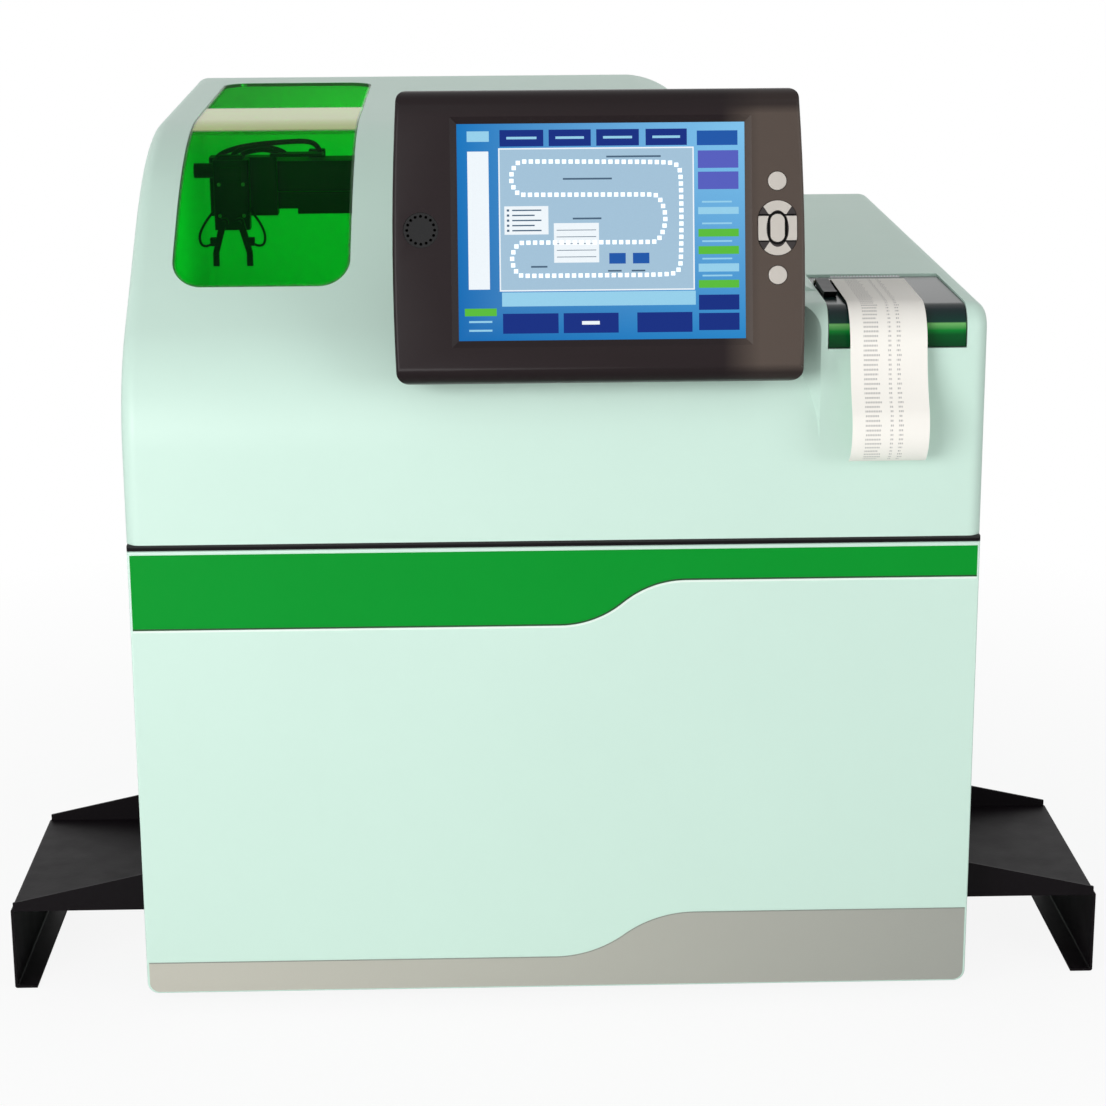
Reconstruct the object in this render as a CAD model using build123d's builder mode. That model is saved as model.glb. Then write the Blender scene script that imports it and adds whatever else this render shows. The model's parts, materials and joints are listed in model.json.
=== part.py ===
"""Bench sedimentation rate analyzer: cabinet, sample drawer, hinged hood, display, printer and gripper.

X runs to the right, Y to the back and Z up. The origin is on the table, at the centre of the whole outline.
"""
import os
from math import atan2, cos, degrees, pi, radians, sin, tan

from build123d import *

# Whole machine
body_width = 650.0          # cabinet and front panel, side to side
body_depth = 650.0          # face of the front panel to the back of the cabinet
display_reach = 33.5        # lower edge of the display in front of the front panel
hinge_reach = 11.0          # hood hinges behind the cabinet
foot_height = 16.0          # table to the underside of the base pan
cabinet_top = 379.4         # top of the deck frame
sheet = 2.0                 # folded sheet metal
film = 0.3                  # printed film on the front panel
seat_gap = 0.3              # between pieces that rest side by side
running_gap = 0.4           # between pieces that slide past each other
pin_clearance = 0.05        # radial, round every pin and spindle

body_half = body_width / 2
front_y = (display_reach - body_depth - hinge_reach) / 2
rear_y = front_y + body_depth

# Front panel of the drawer and its two bands
front_bottom = 14.0
front_top = 376.6
front_thickness = 20.0
front_skin = 3.0
front_corner = 9.0
front_edge_round = 1.6
cabinet_setback = 2.0       # back of the front panel to the cabinet
band_margin = 1.2           # rim of the front panel left bare round the bands
green_low = 314.2           # lower edge of the green band, left of its wave
green_high = 349.2          # and right of it
green_top = 373.7
green_wave_start = 3.5
green_wave_end = 100.0
grey_low = 40.4             # upper edge of the grey band, left of its wave
grey_high = 76.8
grey_bottom = 15.6
grey_wave_start = -2.0
grey_wave_end = 108.0
back_y = front_y + front_thickness
cabinet_y = back_y + cabinet_setback

# Rack trays on both sides and the lane that joins them
tray_reach = 438.4          # centre of the machine to the outer face of a tray leg
tray_front = 46.5           # front panel face to the tray's front wall
tray_depth = 203.0
tray_floor = 68.6           # table to the top of the tray floor
tray_wall_inner = 29.5      # wall height beside the cabinet
tray_wall_outer = 5.0       # wall height at the leg
tray_foot = 18.0            # flange on the table
tray_bend = 1.5             # inner radius of the folds
port_inset = 4.0            # rack port inside the tray walls, each side
port_height = 128.0
lane_wall = 24.0            # lane walls above its floor
screw_radius = 3.5
screw_head = 2.2
tray_y = front_y + tray_front

# Deck frame, base pan and seal
deck_thickness = 2.4
deck_border = 25.0
crossbar_front = 330.0      # front panel face to the bar that carries the gantry
crossbar_width = 40.0
deck_opening_front = 50.0
deck_opening_rear = body_depth - 44.0
pan_flange = 20.0
seal_width = 6.0
seal_height = 1.8
deck_under = cabinet_top - deck_thickness

# Levelling feet
foot_radius = 19.0
foot_inset_x = 45.0
foot_inset_y = 60.0
foot_pad = 9.0

# Drawer box and its telescopic runners
rail_height = 45.0
rail_bottom = 225.0
rail_length = body_depth - 110.0
rail_sheet = 1.5
rail_space = 14.5           # drawer side to cabinet side
drawer_bottom = 206.0
drawer_side_height = 124.0
drawer_depth = body_depth - 97.0
drawer_half = body_half - sheet - rail_space
rail_y = cabinet_y + 4.0

# Sample chain on its deck
chain_deck_height = 56.0    # drawer floor to the underside of the chain deck
chain_deck_sheet = 3.0
chain_row_pitch = 70.0
chain_half_run = drawer_half - 108.5    # centre to the start of the end turns
chain_first_row = 121.0     # front panel face to the first row
chain_pitch = 36.0          # least distance from cup to cup
cup_size = 21.0
cup_height = 30.0
cup_wall = 3.4
cup_floor = 4.0
tongue_width = 9.0
tongue_thickness = 3.0
tube_radius = 6.5
tube_length = 75.0
tube_cap_radius = 8.0
tube_cap_height = 14.0
tube_cap_rise = 4.0         # cap above the glass
tube_count = 22
chain_turn = chain_row_pitch / 2

# Mixer across the drawer, behind the chain
mixer_y = front_y + 436.0
mixer_height = 84.0         # drawer floor to the mixer's axis
mixer_radius = 56.0
mixer_disc = 6.0
mixer_half_length = drawer_half - 178.5
mixer_shaft_radius = 8.0
mixer_cradle_count = 6
mixer_cradle_radius = 42.0
bearing_width = 12.0
bearing_foot = 34.0         # half its length on the drawer floor
bearing_cap = 14.0          # half its length round the shaft

# Hood
hood_overhang = 1.0         # hood side outside the cabinet side
hood_bottom = 381.5
hood_wall = 4.0
hood_slope_start = 452.0    # height where the high part's front begins to lean
hood_brow_radius = 110.0    # bend from the upright front into the slope
hood_slope_angle = 36.0
hood_slope_length = 119.0
hood_crown_radius = 308.0   # bend from the slope into the top
hood_top_angle = 1.2
hood_low_top = 559.5
hood_low_front_round = 20.0
hood_rear_round = 12.0
hood_side_round = 12.0
shoulder_start = body_half - 245.0      # where the high part's top begins to fall to the low part
shoulder_radius = 83.0
shoulder_turn = 60.0
shoulder_foot_round = 20.0
step_inner = body_half - 205.0          # slanted step between the two fronts, hidden by the display
step_outer = body_half - 125.0
step_depth = 88.0
hood_half = body_half + hood_overhang

# Tinted window in the hood
window_left = 32.0 - body_half
window_right = window_left + 138.0
window_front = 79.0         # front panel face to the window's lower edge
window_rear = body_depth - 58.0
window_corner = 24.0
window_sheet = 3.0

# Hood hinges
hinge_x = body_half - 125.0
hinge_length = 64.0
hinge_knuckle_radius = 4.8
hinge_pin_radius = 2.2
hinge_leaf = 2.0
hinge_leaf_height = 34.0
hinge_middle_share = 0.36
hinge_axis_z = 381.0
hinge_axis_y = rear_y + hinge_reach - hinge_knuckle_radius

# Display unit
display_x = 33.3
display_z = 616.0
display_lean = 12.0         # degrees that its face leans back
display_height = 215.0
display_top_width = 295.0
display_middle_width = 303.0
display_bottom_width = 299.5
display_corner = 9.0
display_roll = 12.0         # rounding of its upper and lower edges
display_side_round = 3.0
bezel_depth = 24.0
display_back_depth = 30.0
screen_width = 211.2
screen_height = 158.4
screen_x = 2.0              # screen centre beside the centre of the unit
screen_up = 3.0
screen_recess = 3.0
screen_frame = 5.0          # sloped rim between the bezel's face and the screen
screen_thickness = 5.0
speaker_x = -130.6          # from the centre of the unit
speaker_up = 5.0
speaker_radius = 13.0
speaker_hole_ring = 10.2
speaker_hole_radius = 1.1
speaker_hole_count = 16
speaker_thickness = 3.0
key_x = 131.2
key_up = 4.2                # centre of the key ring
round_key_radius = 6.8
round_key_offset = 34.4
ring_half_width = 14.2
ring_half_height = 20.0
ring_hole_half_width = 7.4
ring_hole_half_height = 12.2
centre_key_half_width = 5.2
centre_key_half_height = 10.2
key_split = 0.5             # half the gap between neighbouring keys
key_overlap = 2.6           # upper and lower keys reach down beside the centre key by this much
side_key_start = 4.3
key_proud = 0.8
key_thickness = 4.0
key_travel = 1.2
keypad_sheet = 2.0
key_stem_radius = 2.5
keypad_post_radius = 4.0
display_y = (front_y - display_reach + (display_height / 2 - display_roll) * sin(radians(display_lean))
             - display_roll * cos(radians(display_lean)) + display_roll)

# Bracket that carries the display on the hood
bracket_width = 150.0
bracket_low = -78.0         # along the back of the display, from its centre
bracket_high = 22.0
bracket_depth = 190.0

# Printer in the low part of the hood
printer_right = body_half - 15.4
printer_left = printer_right - 104.6
printer_depth = 148.0       # hood front to the lip behind the cover
printer_sill = hood_low_top - 32.5
printer_floor = hood_low_top - 81.5
bay_wall = 2.0
bay_overlap = 2.5           # bay outside the opening, under the hood
cover_drop = 1.6            # cover below the hood's surface
cover_thickness = 3.0
cover_gap = 0.8
cover_hinge_radius = 2.6
cover_pin_radius = 1.5
cover_hinge_back = 5.0      # hinge axis in front of the lip
cover_ear = 9.0
paper_width = 57.5
paper_x = printer_right - 60.6
paper_thickness = 0.4
paper_slot_y = 120.0
paper_slot = 6.0
paper_run = 12.0            # slot to where the strip bends over
strip_over = (12.0, 27.5)   # in front of the front panel and below the hood's low top: the strip turns down
strip_bulge = (29.0, 71.5)
strip_end = (17.0, 114.5)
roll_radius = 24.0
roll_core_radius = 6.0
roll_y = 78.0
roll_z = hood_low_top - 48.5
platen_radius = 5.0
platen_pin_radius = 2.0
platen_y = 118.0
platen_drop = 10.5
lever_length = 52.0
lever_width = 10.0
lever_pin_radius = 1.5
lever_x = printer_left + 7.5
lever_back = 104.0          # front panel face to the lever's pin
lever_rise = 3.0            # lever's pin above the cover
lever_ear = 1.0
lever_eye_radius = 2.5

# Gantry and gripper
beam_left = window_left + 41.0
beam_right = 76.0
beam_front = 290.0
beam_depth = 36.0
beam_bottom = 597.0
beam_top = 637.0
beam_wall = 4.0
column_xs = (-118.0, 52.0)
column_width = 30.0
column_depth = 30.0
column_top = 650.0
slider_height = 60.0
carriage_left = window_left + 13.0
carriage_right = window_left + 69.0
carriage_plate = 8.0
gripper_left = window_left + 17.5
gripper_right = window_left + 47.0
gripper_front = 264.0
gripper_bottom = 583.0
gripper_top = 641.0
finger_pivot_z = 590.0
finger_pivot_x = 6.5        # from the gripper's centre
finger_thickness = 4.5
finger_width = 5.0
finger_tip_z = 553.6
finger_tip_x = 14.0
finger_pin_radius = 1.6
finger_eye_radius = 3.8
finger_pad_height = 11.0
actuator_radius = 6.2       # small drive on the gripper's left
actuator_length = 16.0
motor_size = 40.0

# Cabinet services
fan_x = body_half - 135.0
fan_z = 118.0
fan_size = 80.0
fan_depth = 25.0
fan_bore_radius = 37.0
fan_hub_radius = 15.0
fan_blade_count = 7
fan_pin_radius = 2.5
fan_strut = 4.0
guard_wire = 2.0
guard_rings = (12.0, 22.0, 32.0, 42.0)
inlet_x = 95.0 - body_half
inlet_z = 96.0
inlet_width = 28.0
inlet_height = 50.0
inlet_flange = 4.0
inlet_depth = 24.0
rocker_width = 13.0
rocker_height = 19.0
rocker_relief = 2.0         # rocker shorter than its recess, each end
rocker_tilt = 7.0
rocker_pin_radius = 1.5
supply_size = (170.0, 150.0, 76.0)
supply_x = 120.0 - body_half
supply_y = rear_y - 150.0
board_size = (240.0, 190.0, 1.6)
board_x = body_half - 175.0
board_y = rear_y - 180.0
board_standoff = 14.0

os.makedirs("parts", exist_ok=True)


def front_plane(y):
    """Upright plane that faces the front: its x is X and its y is Z."""
    return Plane(origin=(0, y, 0), x_dir=(1, 0, 0), z_dir=(0, -1, 0))


def back_plane(y):
    """Upright plane that faces the back: its x is X and its y is -Z."""
    return Plane(origin=(0, y, 0), x_dir=(1, 0, 0), z_dir=(0, 1, 0))


def side_plane(x):
    """Upright plane that faces +X: its x is Y and its y is Z."""
    return Plane(origin=(x, 0, 0), x_dir=(0, 1, 0), z_dir=(1, 0, 0))


def level(z):
    """Flat plane at a height."""
    return Plane.XY.offset(z)


def display_plane(outward):
    """Plane along the display's face, that far in front of it, with the centre of the unit as its origin."""
    lean = radians(display_lean)
    face = Plane(origin=(display_x, display_y, display_z), x_dir=(1, 0, 0), z_dir=(0, -cos(lean), sin(lean)))
    return face.offset(outward)


def wave_edge(start, end):
    """S-shaped edge of a band: two equal arcs that leave start and reach end along X."""
    middle = ((start[0] + end[0]) / 2, (start[1] + end[1]) / 2)
    first = TangentArc(start, middle, tangent=(1, 0))
    TangentArc(middle, end, tangent=first % 1)


# Front panel of the drawer: a shallow hollow-backed panel with a closing plate let into its back
with BuildPart() as drawer_front:
    with BuildSketch(front_plane(back_y)) as front_outline:
        with Locations((0, (front_bottom + front_top) / 2)):
            Rectangle(body_width, front_top - front_bottom)
        fillet(front_outline.vertices().group_by(Axis.Y)[0], front_corner)
    extrude(amount=front_thickness)
    fillet(drawer_front.faces().sort_by(Axis.Y)[0].edges(), front_edge_round)
    with BuildSketch(front_plane(back_y)):
        with Locations((0, (front_bottom + front_top) / 2)):
            Rectangle(body_width - 2 * front_skin, front_top - front_bottom - 2 * front_skin)
    extrude(amount=front_thickness - front_skin, mode=Mode.SUBTRACT)
    with BuildSketch(front_plane(back_y)):
        with Locations((0, (front_bottom + front_top) / 2)):
            Rectangle(body_width - 2 * front_skin, front_top - front_bottom - 2 * front_skin)
    extrude(amount=sheet)

with BuildPart() as green_band:
    with BuildSketch(front_plane(front_y)):
        with BuildLine():
            edge = body_half - band_margin - front_edge_round / 2
            Polyline((green_wave_start, green_low), (-edge, green_low), (-edge, green_top),
                     (edge, green_top), (edge, green_high), (green_wave_end, green_high))
            wave_edge((green_wave_start, green_low), (green_wave_end, green_high))
        make_face()
    extrude(amount=film)

with BuildPart() as grey_band:
    with BuildSketch(front_plane(front_y)) as grey_outline:
        with BuildLine():
            Polyline((grey_wave_start, grey_low), (-edge, grey_low), (-edge, grey_bottom),
                     (edge, grey_bottom), (edge, grey_high), (grey_wave_end, grey_high))
            wave_edge((grey_wave_start, grey_low), (grey_wave_end, grey_high))
        make_face()
        fillet(grey_outline.vertices().group_by(Axis.Y)[0], front_corner - band_margin)
    extrude(amount=film)


# Cabinet shell
with BuildPart() as base_pan:
    pan_half = body_half - sheet - seat_gap / 2
    pan_rear = rear_y - sheet - seat_gap / 2
    with BuildSketch(side_plane(-pan_half)):
        with BuildLine():
            Polyline((cabinet_y, foot_height), (pan_rear, foot_height), (pan_rear, foot_height + pan_flange),
                     (pan_rear - sheet, foot_height + pan_flange), (pan_rear - sheet, foot_height + sheet),
                     (cabinet_y, foot_height + sheet), close=True)
        make_face()
    extrude(amount=2 * pan_half)


def side_panel(side):
    """Side of the cabinet with its rack port and vents. side is -1 on the left and 1 on the right."""
    outer = side * body_half
    port_y = tray_y + tray_depth / 2
    vent_count = 7
    vent_pitch = 12.0
    vent_length = 90.0
    vent_height = 4.0
    with BuildPart() as panel:
        with BuildSketch(side_plane(outer)) as outline:
            with Locations(((cabinet_y + rear_y) / 2, (foot_height + deck_under) / 2)):
                Rectangle(rear_y - cabinet_y, deck_under - foot_height)
            with Locations((port_y, tray_floor + port_height / 2)):
                Rectangle(tray_depth - 2 * port_inset - 2 * sheet, port_height, mode=Mode.SUBTRACT)
            vents_z = deck_under - 50.0
            with Locations((rear_y - 110.0, vents_z)):
                with GridLocations(0, vent_pitch, 1, vent_count):
                    SlotOverall(vent_length, vent_height, mode=Mode.SUBTRACT)
        extrude(amount=-side * sheet)
    return panel


left_side_panel = side_panel(-1)
right_side_panel = side_panel(1)

with BuildPart() as rear_panel:
    with BuildSketch(front_plane(rear_y)):
        with Locations((0, (foot_height + deck_under) / 2)):
            Rectangle(2 * (body_half - sheet - seat_gap), deck_under - foot_height)
        with Locations((fan_x, fan_z)):
            Circle(fan_bore_radius + 1, mode=Mode.SUBTRACT)
        with Locations((inlet_x, inlet_z)):
            Rectangle(inlet_width, inlet_height, mode=Mode.SUBTRACT)
        with Locations((0, deck_under - 70)):
            with GridLocations(60, 14, 6, 4):
                SlotOverall(44, 4.5, mode=Mode.SUBTRACT)
    extrude(amount=sheet)

with BuildPart() as deck_frame:
    deck_front = front_y + 1.0
    with BuildSketch(level(deck_under)) as deck_outline:
        with Locations((0, (deck_front + rear_y) / 2)):
            Rectangle(body_width, rear_y - deck_front)
        opening_width = body_width - 2 * deck_border
        bar_front = front_y + crossbar_front
        bar_back = bar_front + crossbar_width
        for low, high in ((front_y + deck_opening_front, bar_front),
                          (bar_back, front_y + deck_opening_rear)):
            with Locations((0, (low + high) / 2)):
                RectangleRounded(opening_width, high - low, 12, mode=Mode.SUBTRACT)
    extrude(amount=deck_thickness)

with BuildPart() as hood_seal:
    with BuildSketch(level(cabinet_top)):
        with Locations((0, (deck_front + rear_y) / 2)):
            Rectangle(body_width, rear_y - deck_front)
            Rectangle(body_width - 2 * seal_width, rear_y - deck_front - 2 * seal_width, mode=Mode.SUBTRACT)
    extrude(amount=seal_height)

with BuildPart() as levelling_feet:
    stud_radius = 5.0
    foot_spots = [(sx * (body_half - foot_inset_x), y) for sx in (-1, 1)
                  for y in (front_y + foot_inset_y, rear_y - foot_inset_y)]
    with BuildSketch(level(0)):
        with Locations(*foot_spots):
            Circle(foot_radius)
    extrude(amount=foot_pad, taper=12)
    with BuildSketch(level(foot_pad)):
        with Locations(*foot_spots):
            Circle(stud_radius)
    extrude(amount=foot_height - foot_pad)


# Rack trays
def rack_tray(side):
    """Bent sheet tray on one side: floor, wedge walls, leg, foot and the flange against the cabinet."""
    inner = side * body_half
    outer = side * tray_reach
    leg_inner = outer - side * sheet
    foot_end = outer - side * tray_foot
    flange_drop = 22.0
    floor_under = tray_floor - sheet
    rear_wall = tray_y + tray_depth
    with BuildPart() as tray:
        with BuildSketch(front_plane(rear_wall)) as section:
            with BuildLine():
                Polyline((inner, tray_floor), (outer, tray_floor), (outer, 0), (foot_end, 0),
                         (foot_end, sheet), (leg_inner, sheet), (leg_inner, floor_under),
                         (inner + side * sheet, floor_under),
                         (inner + side * sheet, floor_under - flange_drop),
                         (inner, floor_under - flange_drop), close=True)
            make_face()
            bends = [v for v in section.vertices() if abs(v.X - leg_inner) < 0.1
                     or (abs(v.X - inner - side * sheet) < 0.1 and v.Y > floor_under - 1)]
            fillet(bends, tray_bend)
            corners = [v for v in section.vertices() if abs(v.X - outer) < 0.1]
            fillet(corners, tray_bend + 0.5)
        extrude(amount=tray_depth)
        for wall_y in (tray_y + sheet, rear_wall):
            with BuildSketch(front_plane(wall_y)):
                with BuildLine():
                    Polyline((inner, tray_floor), (outer - side * (tray_bend + 0.5), tray_floor),
                             (outer - side * (tray_bend + 0.5), tray_floor + tray_wall_outer),
                             (inner, tray_floor + tray_wall_inner), close=True)
                make_face()
            extrude(amount=sheet)
    return tray


left_rack_tray = rack_tray(-1)
right_rack_tray = rack_tray(1)

with BuildPart() as tray_screws:
    screw_z = tray_floor - sheet - 12.0
    for side in (-1, 1):
        with BuildSketch(side_plane(side * (body_half + sheet))):
            with Locations((tray_y + tray_depth * 0.5, screw_z)):
                with GridLocations(tray_depth / 4, 0, 4, 1):
                    Circle(screw_radius)
        extrude(amount=side * screw_head)
    screw_faces = tray_screws.faces().filter_by(Axis.X).sort_by(Axis.X)
    chamfer((screw_faces[:4] + screw_faces[-4:]).edges(), 0.9)

with BuildPart() as rack_lane:
    lane_half = body_half - sheet - seat_gap / 2
    pan_top = foot_height + sheet
    with BuildSketch(side_plane(-lane_half)):
        with BuildLine():
            near = tray_y
            far = tray_y + tray_depth
            lane_top = tray_floor + lane_wall
            Polyline((near, pan_top), (near, lane_top), (near + sheet, lane_top),
                     (near + sheet, tray_floor), (far - sheet, tray_floor), (far - sheet, lane_top),
                     (far, lane_top), (far, pan_top), (far - sheet, pan_top),
                     (far - sheet, tray_floor - sheet), (near + sheet, tray_floor - sheet),
                     (near + sheet, pan_top), close=True)
        make_face()
    extrude(amount=2 * lane_half)
    with BuildSketch(front_plane(far)):
        with Locations((0, (pan_top + tray_floor - sheet) / 2)):
            with GridLocations(120, 0, 5, 1):
                SlotOverall(60, 14)
    extrude(amount=tray_depth, mode=Mode.SUBTRACT)


# Telescopic runners
def runner_profile(web, tip, low, high, side):
    """C-shaped rail section, open towards tip."""
    inner_web = web - side * rail_sheet
    Polyline((web, low), (tip, low), (tip, low + rail_sheet), (inner_web, low + rail_sheet),
             (inner_web, high - rail_sheet), (tip, high - rail_sheet), (tip, high), (web, high), close=True)


rail_top = rail_bottom + rail_height
middle_low = rail_bottom + rail_sheet + running_gap
middle_high = rail_top - rail_sheet - running_gap
inner_low = middle_low + rail_sheet + running_gap
inner_high = middle_high - rail_sheet - running_gap
outer_web = body_half - sheet
middle_web = outer_web - rail_sheet - running_gap
flange_tip = drawer_half + 3.0

with BuildPart() as outer_rails:
    for side in (-1, 1):
        with BuildSketch(front_plane(rail_y)):
            with BuildLine():
                runner_profile(side * outer_web, side * flange_tip, rail_bottom, rail_top, side)
            make_face()
        extrude(amount=-rail_length)

with BuildPart() as middle_rails:
    for side in (-1, 1):
        with BuildSketch(front_plane(rail_y)):
            with BuildLine():
                runner_profile(side * middle_web, side * flange_tip, middle_low, middle_high, side)
            make_face()
        extrude(amount=-rail_length)

with BuildPart() as inner_rails:
    for side in (-1, 1):
        tip = middle_web - rail_sheet - running_gap
        with BuildSketch(front_plane(rail_y)):
            with BuildLine():
                runner_profile(side * drawer_half, side * tip, inner_low, inner_high, -side)
            make_face()
        extrude(amount=-rail_length)


# Drawer box
drawer_floor = drawer_bottom + sheet
drawer_rear = back_y + drawer_depth
with BuildPart() as drawer_box:
    with BuildSketch(level(drawer_bottom)):
        with Locations((0, (back_y + drawer_rear) / 2)):
            Rectangle(2 * drawer_half, drawer_depth)
    extrude(amount=drawer_side_height)
    with BuildSketch(level(drawer_floor)):
        with Locations((0, (back_y + drawer_rear) / 2)):
            Rectangle(2 * (drawer_half - sheet), drawer_depth - 2 * sheet)
    extrude(amount=drawer_side_height, mode=Mode.SUBTRACT)

chain_deck_under = drawer_floor + chain_deck_height
chain_deck_top = chain_deck_under + chain_deck_sheet
chain_deck_front = front_y + chain_first_row - chain_turn - 20.0
chain_deck_rear = front_y + chain_first_row + 3 * chain_row_pitch + chain_turn - 6.0
with BuildPart() as chain_deck:
    deck_half = chain_half_run + chain_turn + 38.0
    deck_outer = deck_half + chain_deck_sheet
    foot_edge = deck_half + 14
    foot_top = drawer_floor + sheet
    with BuildSketch(front_plane(chain_deck_rear)):
        with BuildLine():
            Polyline((-foot_edge, drawer_floor), (-deck_half, drawer_floor), (-deck_half, chain_deck_under),
                     (deck_half, chain_deck_under), (deck_half, drawer_floor), (foot_edge, drawer_floor),
                     (foot_edge, foot_top), (deck_outer, foot_top), (deck_outer, chain_deck_top),
                     (-deck_outer, chain_deck_top), (-deck_outer, foot_top), (-foot_edge, foot_top),
                     close=True)
        make_face()
    extrude(amount=chain_deck_rear - chain_deck_front)


def chain_route():
    """Closed S-shaped path of the chain, seen from above."""
    rows = [front_y + chain_first_row + n * chain_row_pitch for n in range(4)]
    left = -chain_half_run
    right = chain_half_run
    turn_left = left + chain_row_pitch + chain_turn
    far_left = left - chain_turn
    corner = chain_turn * (1 - cos(pi / 4))
    with BuildLine(level(0)) as route:
        Line((left, rows[0]), (right, rows[0]))
        ThreePointArc((right, rows[0]), (right + chain_turn, rows[0] + chain_turn), (right, rows[1]))
        Line((right, rows[1]), (turn_left, rows[1]))
        ThreePointArc((turn_left, rows[1]), (turn_left - chain_turn, rows[1] + chain_turn),
                      (turn_left, rows[2]))
        Line((turn_left, rows[2]), (right, rows[2]))
        ThreePointArc((right, rows[2]), (right + chain_turn, rows[2] + chain_turn), (right, rows[3]))
        Line((right, rows[3]), (left, rows[3]))
        ThreePointArc((left, rows[3]), (far_left + corner, rows[3] - corner),
                      (far_left, rows[3] - chain_turn))
        Line((far_left, rows[3] - chain_turn), (far_left, rows[0] + chain_turn))
        ThreePointArc((far_left, rows[0] + chain_turn), (far_left + corner, rows[0] + corner),
                      (left, rows[0]))
    return route.wire()


route = chain_route()
chain_link_count = int(route.length // chain_pitch)
link_step = 1 / chain_link_count
link_spots = [(route @ (n * link_step), route % (n * link_step)) for n in range(chain_link_count)]
link_pitch = route.length * link_step
tongue_z = chain_deck_top + seat_gap
cup_z = tongue_z + 2 * tongue_thickness + seat_gap
link_frames = [Location((spot.X, spot.Y, 0), (0, 0, degrees(atan2(heading.Y, heading.X))))
               for spot, heading in link_spots]
tongue_reach = link_pitch / 2 + tongue_width / 2
with BuildPart() as sample_chain:
    with BuildSketch(level(tongue_z)):
        with Locations(*link_frames):
            with Locations((tongue_reach / 2, 0)):
                Rectangle(tongue_reach, tongue_width)
    extrude(amount=tongue_thickness)
    with BuildSketch(level(tongue_z + tongue_thickness + seat_gap)):
        with Locations(*link_frames):
            with Locations((-tongue_reach / 2, 0)):
                Rectangle(tongue_reach, tongue_width)
    extrude(amount=tongue_thickness)
    with BuildSketch(level(tongue_z)):
        with Locations(*link_frames):
            Rectangle(cup_size, cup_size)
    extrude(amount=cup_z - tongue_z + cup_floor)
    with BuildSketch(level(cup_z + cup_floor)):
        with Locations(*link_frames):
            Rectangle(cup_size, cup_size)
            Rectangle(cup_size - 2 * cup_wall, cup_size - 2 * cup_wall, mode=Mode.SUBTRACT)
    extrude(amount=cup_height - cup_floor)

with BuildPart() as sample_tubes:
    tube_spots = [(spot.X, spot.Y) for spot, heading in link_spots[:tube_count * 2:2]]
    tube_z = cup_z + cup_floor + seat_gap
    with BuildSketch(level(tube_z)):
        with Locations(*tube_spots):
            Circle(tube_radius)
    extrude(amount=tube_length)
    with BuildSketch(level(tube_z + tube_length - tube_cap_height + tube_cap_rise)):
        with Locations(*tube_spots):
            Circle(tube_cap_radius)
    extrude(amount=tube_cap_height)


# Mixer
mixer_z = drawer_floor + mixer_height
bearing_x = mixer_half_length + mixer_disc + 10.0
with BuildPart() as mixer_bearings:
    for side in (-1, 1):
        with BuildSketch(side_plane(side * bearing_x)):
            with BuildLine():
                top = mixer_z + mixer_shaft_radius + 8
                Polyline((mixer_y - bearing_foot, drawer_floor), (mixer_y + bearing_foot, drawer_floor),
                         (mixer_y + bearing_cap, mixer_z), (mixer_y + bearing_cap, top),
                         (mixer_y - bearing_cap, top), (mixer_y - bearing_cap, mixer_z), close=True)
            make_face()
            with Locations((mixer_y, mixer_z)):
                Circle(mixer_shaft_radius + pin_clearance, mode=Mode.SUBTRACT)
        extrude(amount=side * bearing_width)

with BuildPart() as mixer_rotor:
    shaft_half = bearing_x + bearing_width + 4
    with BuildSketch(side_plane(-shaft_half)):
        with Locations((mixer_y, mixer_z)):
            Circle(mixer_shaft_radius)
    extrude(amount=2 * shaft_half)
    for start in (-mixer_half_length - mixer_disc, mixer_half_length):
        with BuildSketch(side_plane(start)):
            with Locations((mixer_y, mixer_z)):
                Circle(mixer_radius)
                with PolarLocations(mixer_radius, mixer_cradle_count, start_angle=30):
                    Circle(13, mode=Mode.SUBTRACT)
        extrude(amount=mixer_disc)
    with BuildSketch(side_plane(-mixer_half_length)):
        with Locations((mixer_y, mixer_z)):
            with PolarLocations(mixer_cradle_radius, mixer_cradle_count):
                Rectangle(16, 18)
                with Locations((6, 0)):
                    Rectangle(8, 12, mode=Mode.SUBTRACT)
    extrude(amount=2 * mixer_half_length)


# Hood: a high part over the gripper and a low part that holds the printer
def along(start, angle, length):
    """Point at a distance from start, in a direction given in degrees."""
    return (start[0] + length * cos(radians(angle)), start[1] + length * sin(radians(angle)))


brow_turn = 90 - hood_slope_angle
crown_turn = hood_slope_angle - hood_top_angle
brow_start = (front_y, hood_slope_start)
slope_start = along(brow_start, 90 - brow_turn / 2, 2 * hood_brow_radius * sin(radians(brow_turn / 2)))
slope_end = along(slope_start, hood_slope_angle, hood_slope_length)
crown_chord = 2 * hood_crown_radius * sin(radians(crown_turn / 2))
crown_end = along(slope_end, hood_slope_angle - crown_turn / 2, crown_chord)
hood_top_rear = crown_end[1] + (rear_y - crown_end[0]) * tan(radians(hood_top_angle))


def high_profile(inset):
    """Side outline of the high part; the drawn-in one starts below the open bottom."""
    base = hood_bottom - (hood_wall + inset if inset else 0)
    Line((front_y, base), brow_start)
    brow = TangentArc(brow_start, slope_start, tangent=(0, 1))
    Line(slope_start, slope_end)
    TangentArc(slope_end, crown_end, tangent=brow % 1)
    Polyline(crown_end, (rear_y, hood_top_rear), (rear_y, base), (front_y, base))


def low_profile(inset):
    """Side outline of the low part, drawn in by inset."""
    base = hood_bottom - (hood_wall + inset if inset else 0)
    Polyline((front_y, base), (front_y, hood_low_top), (rear_y, hood_low_top), (rear_y, base), close=True)


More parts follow.
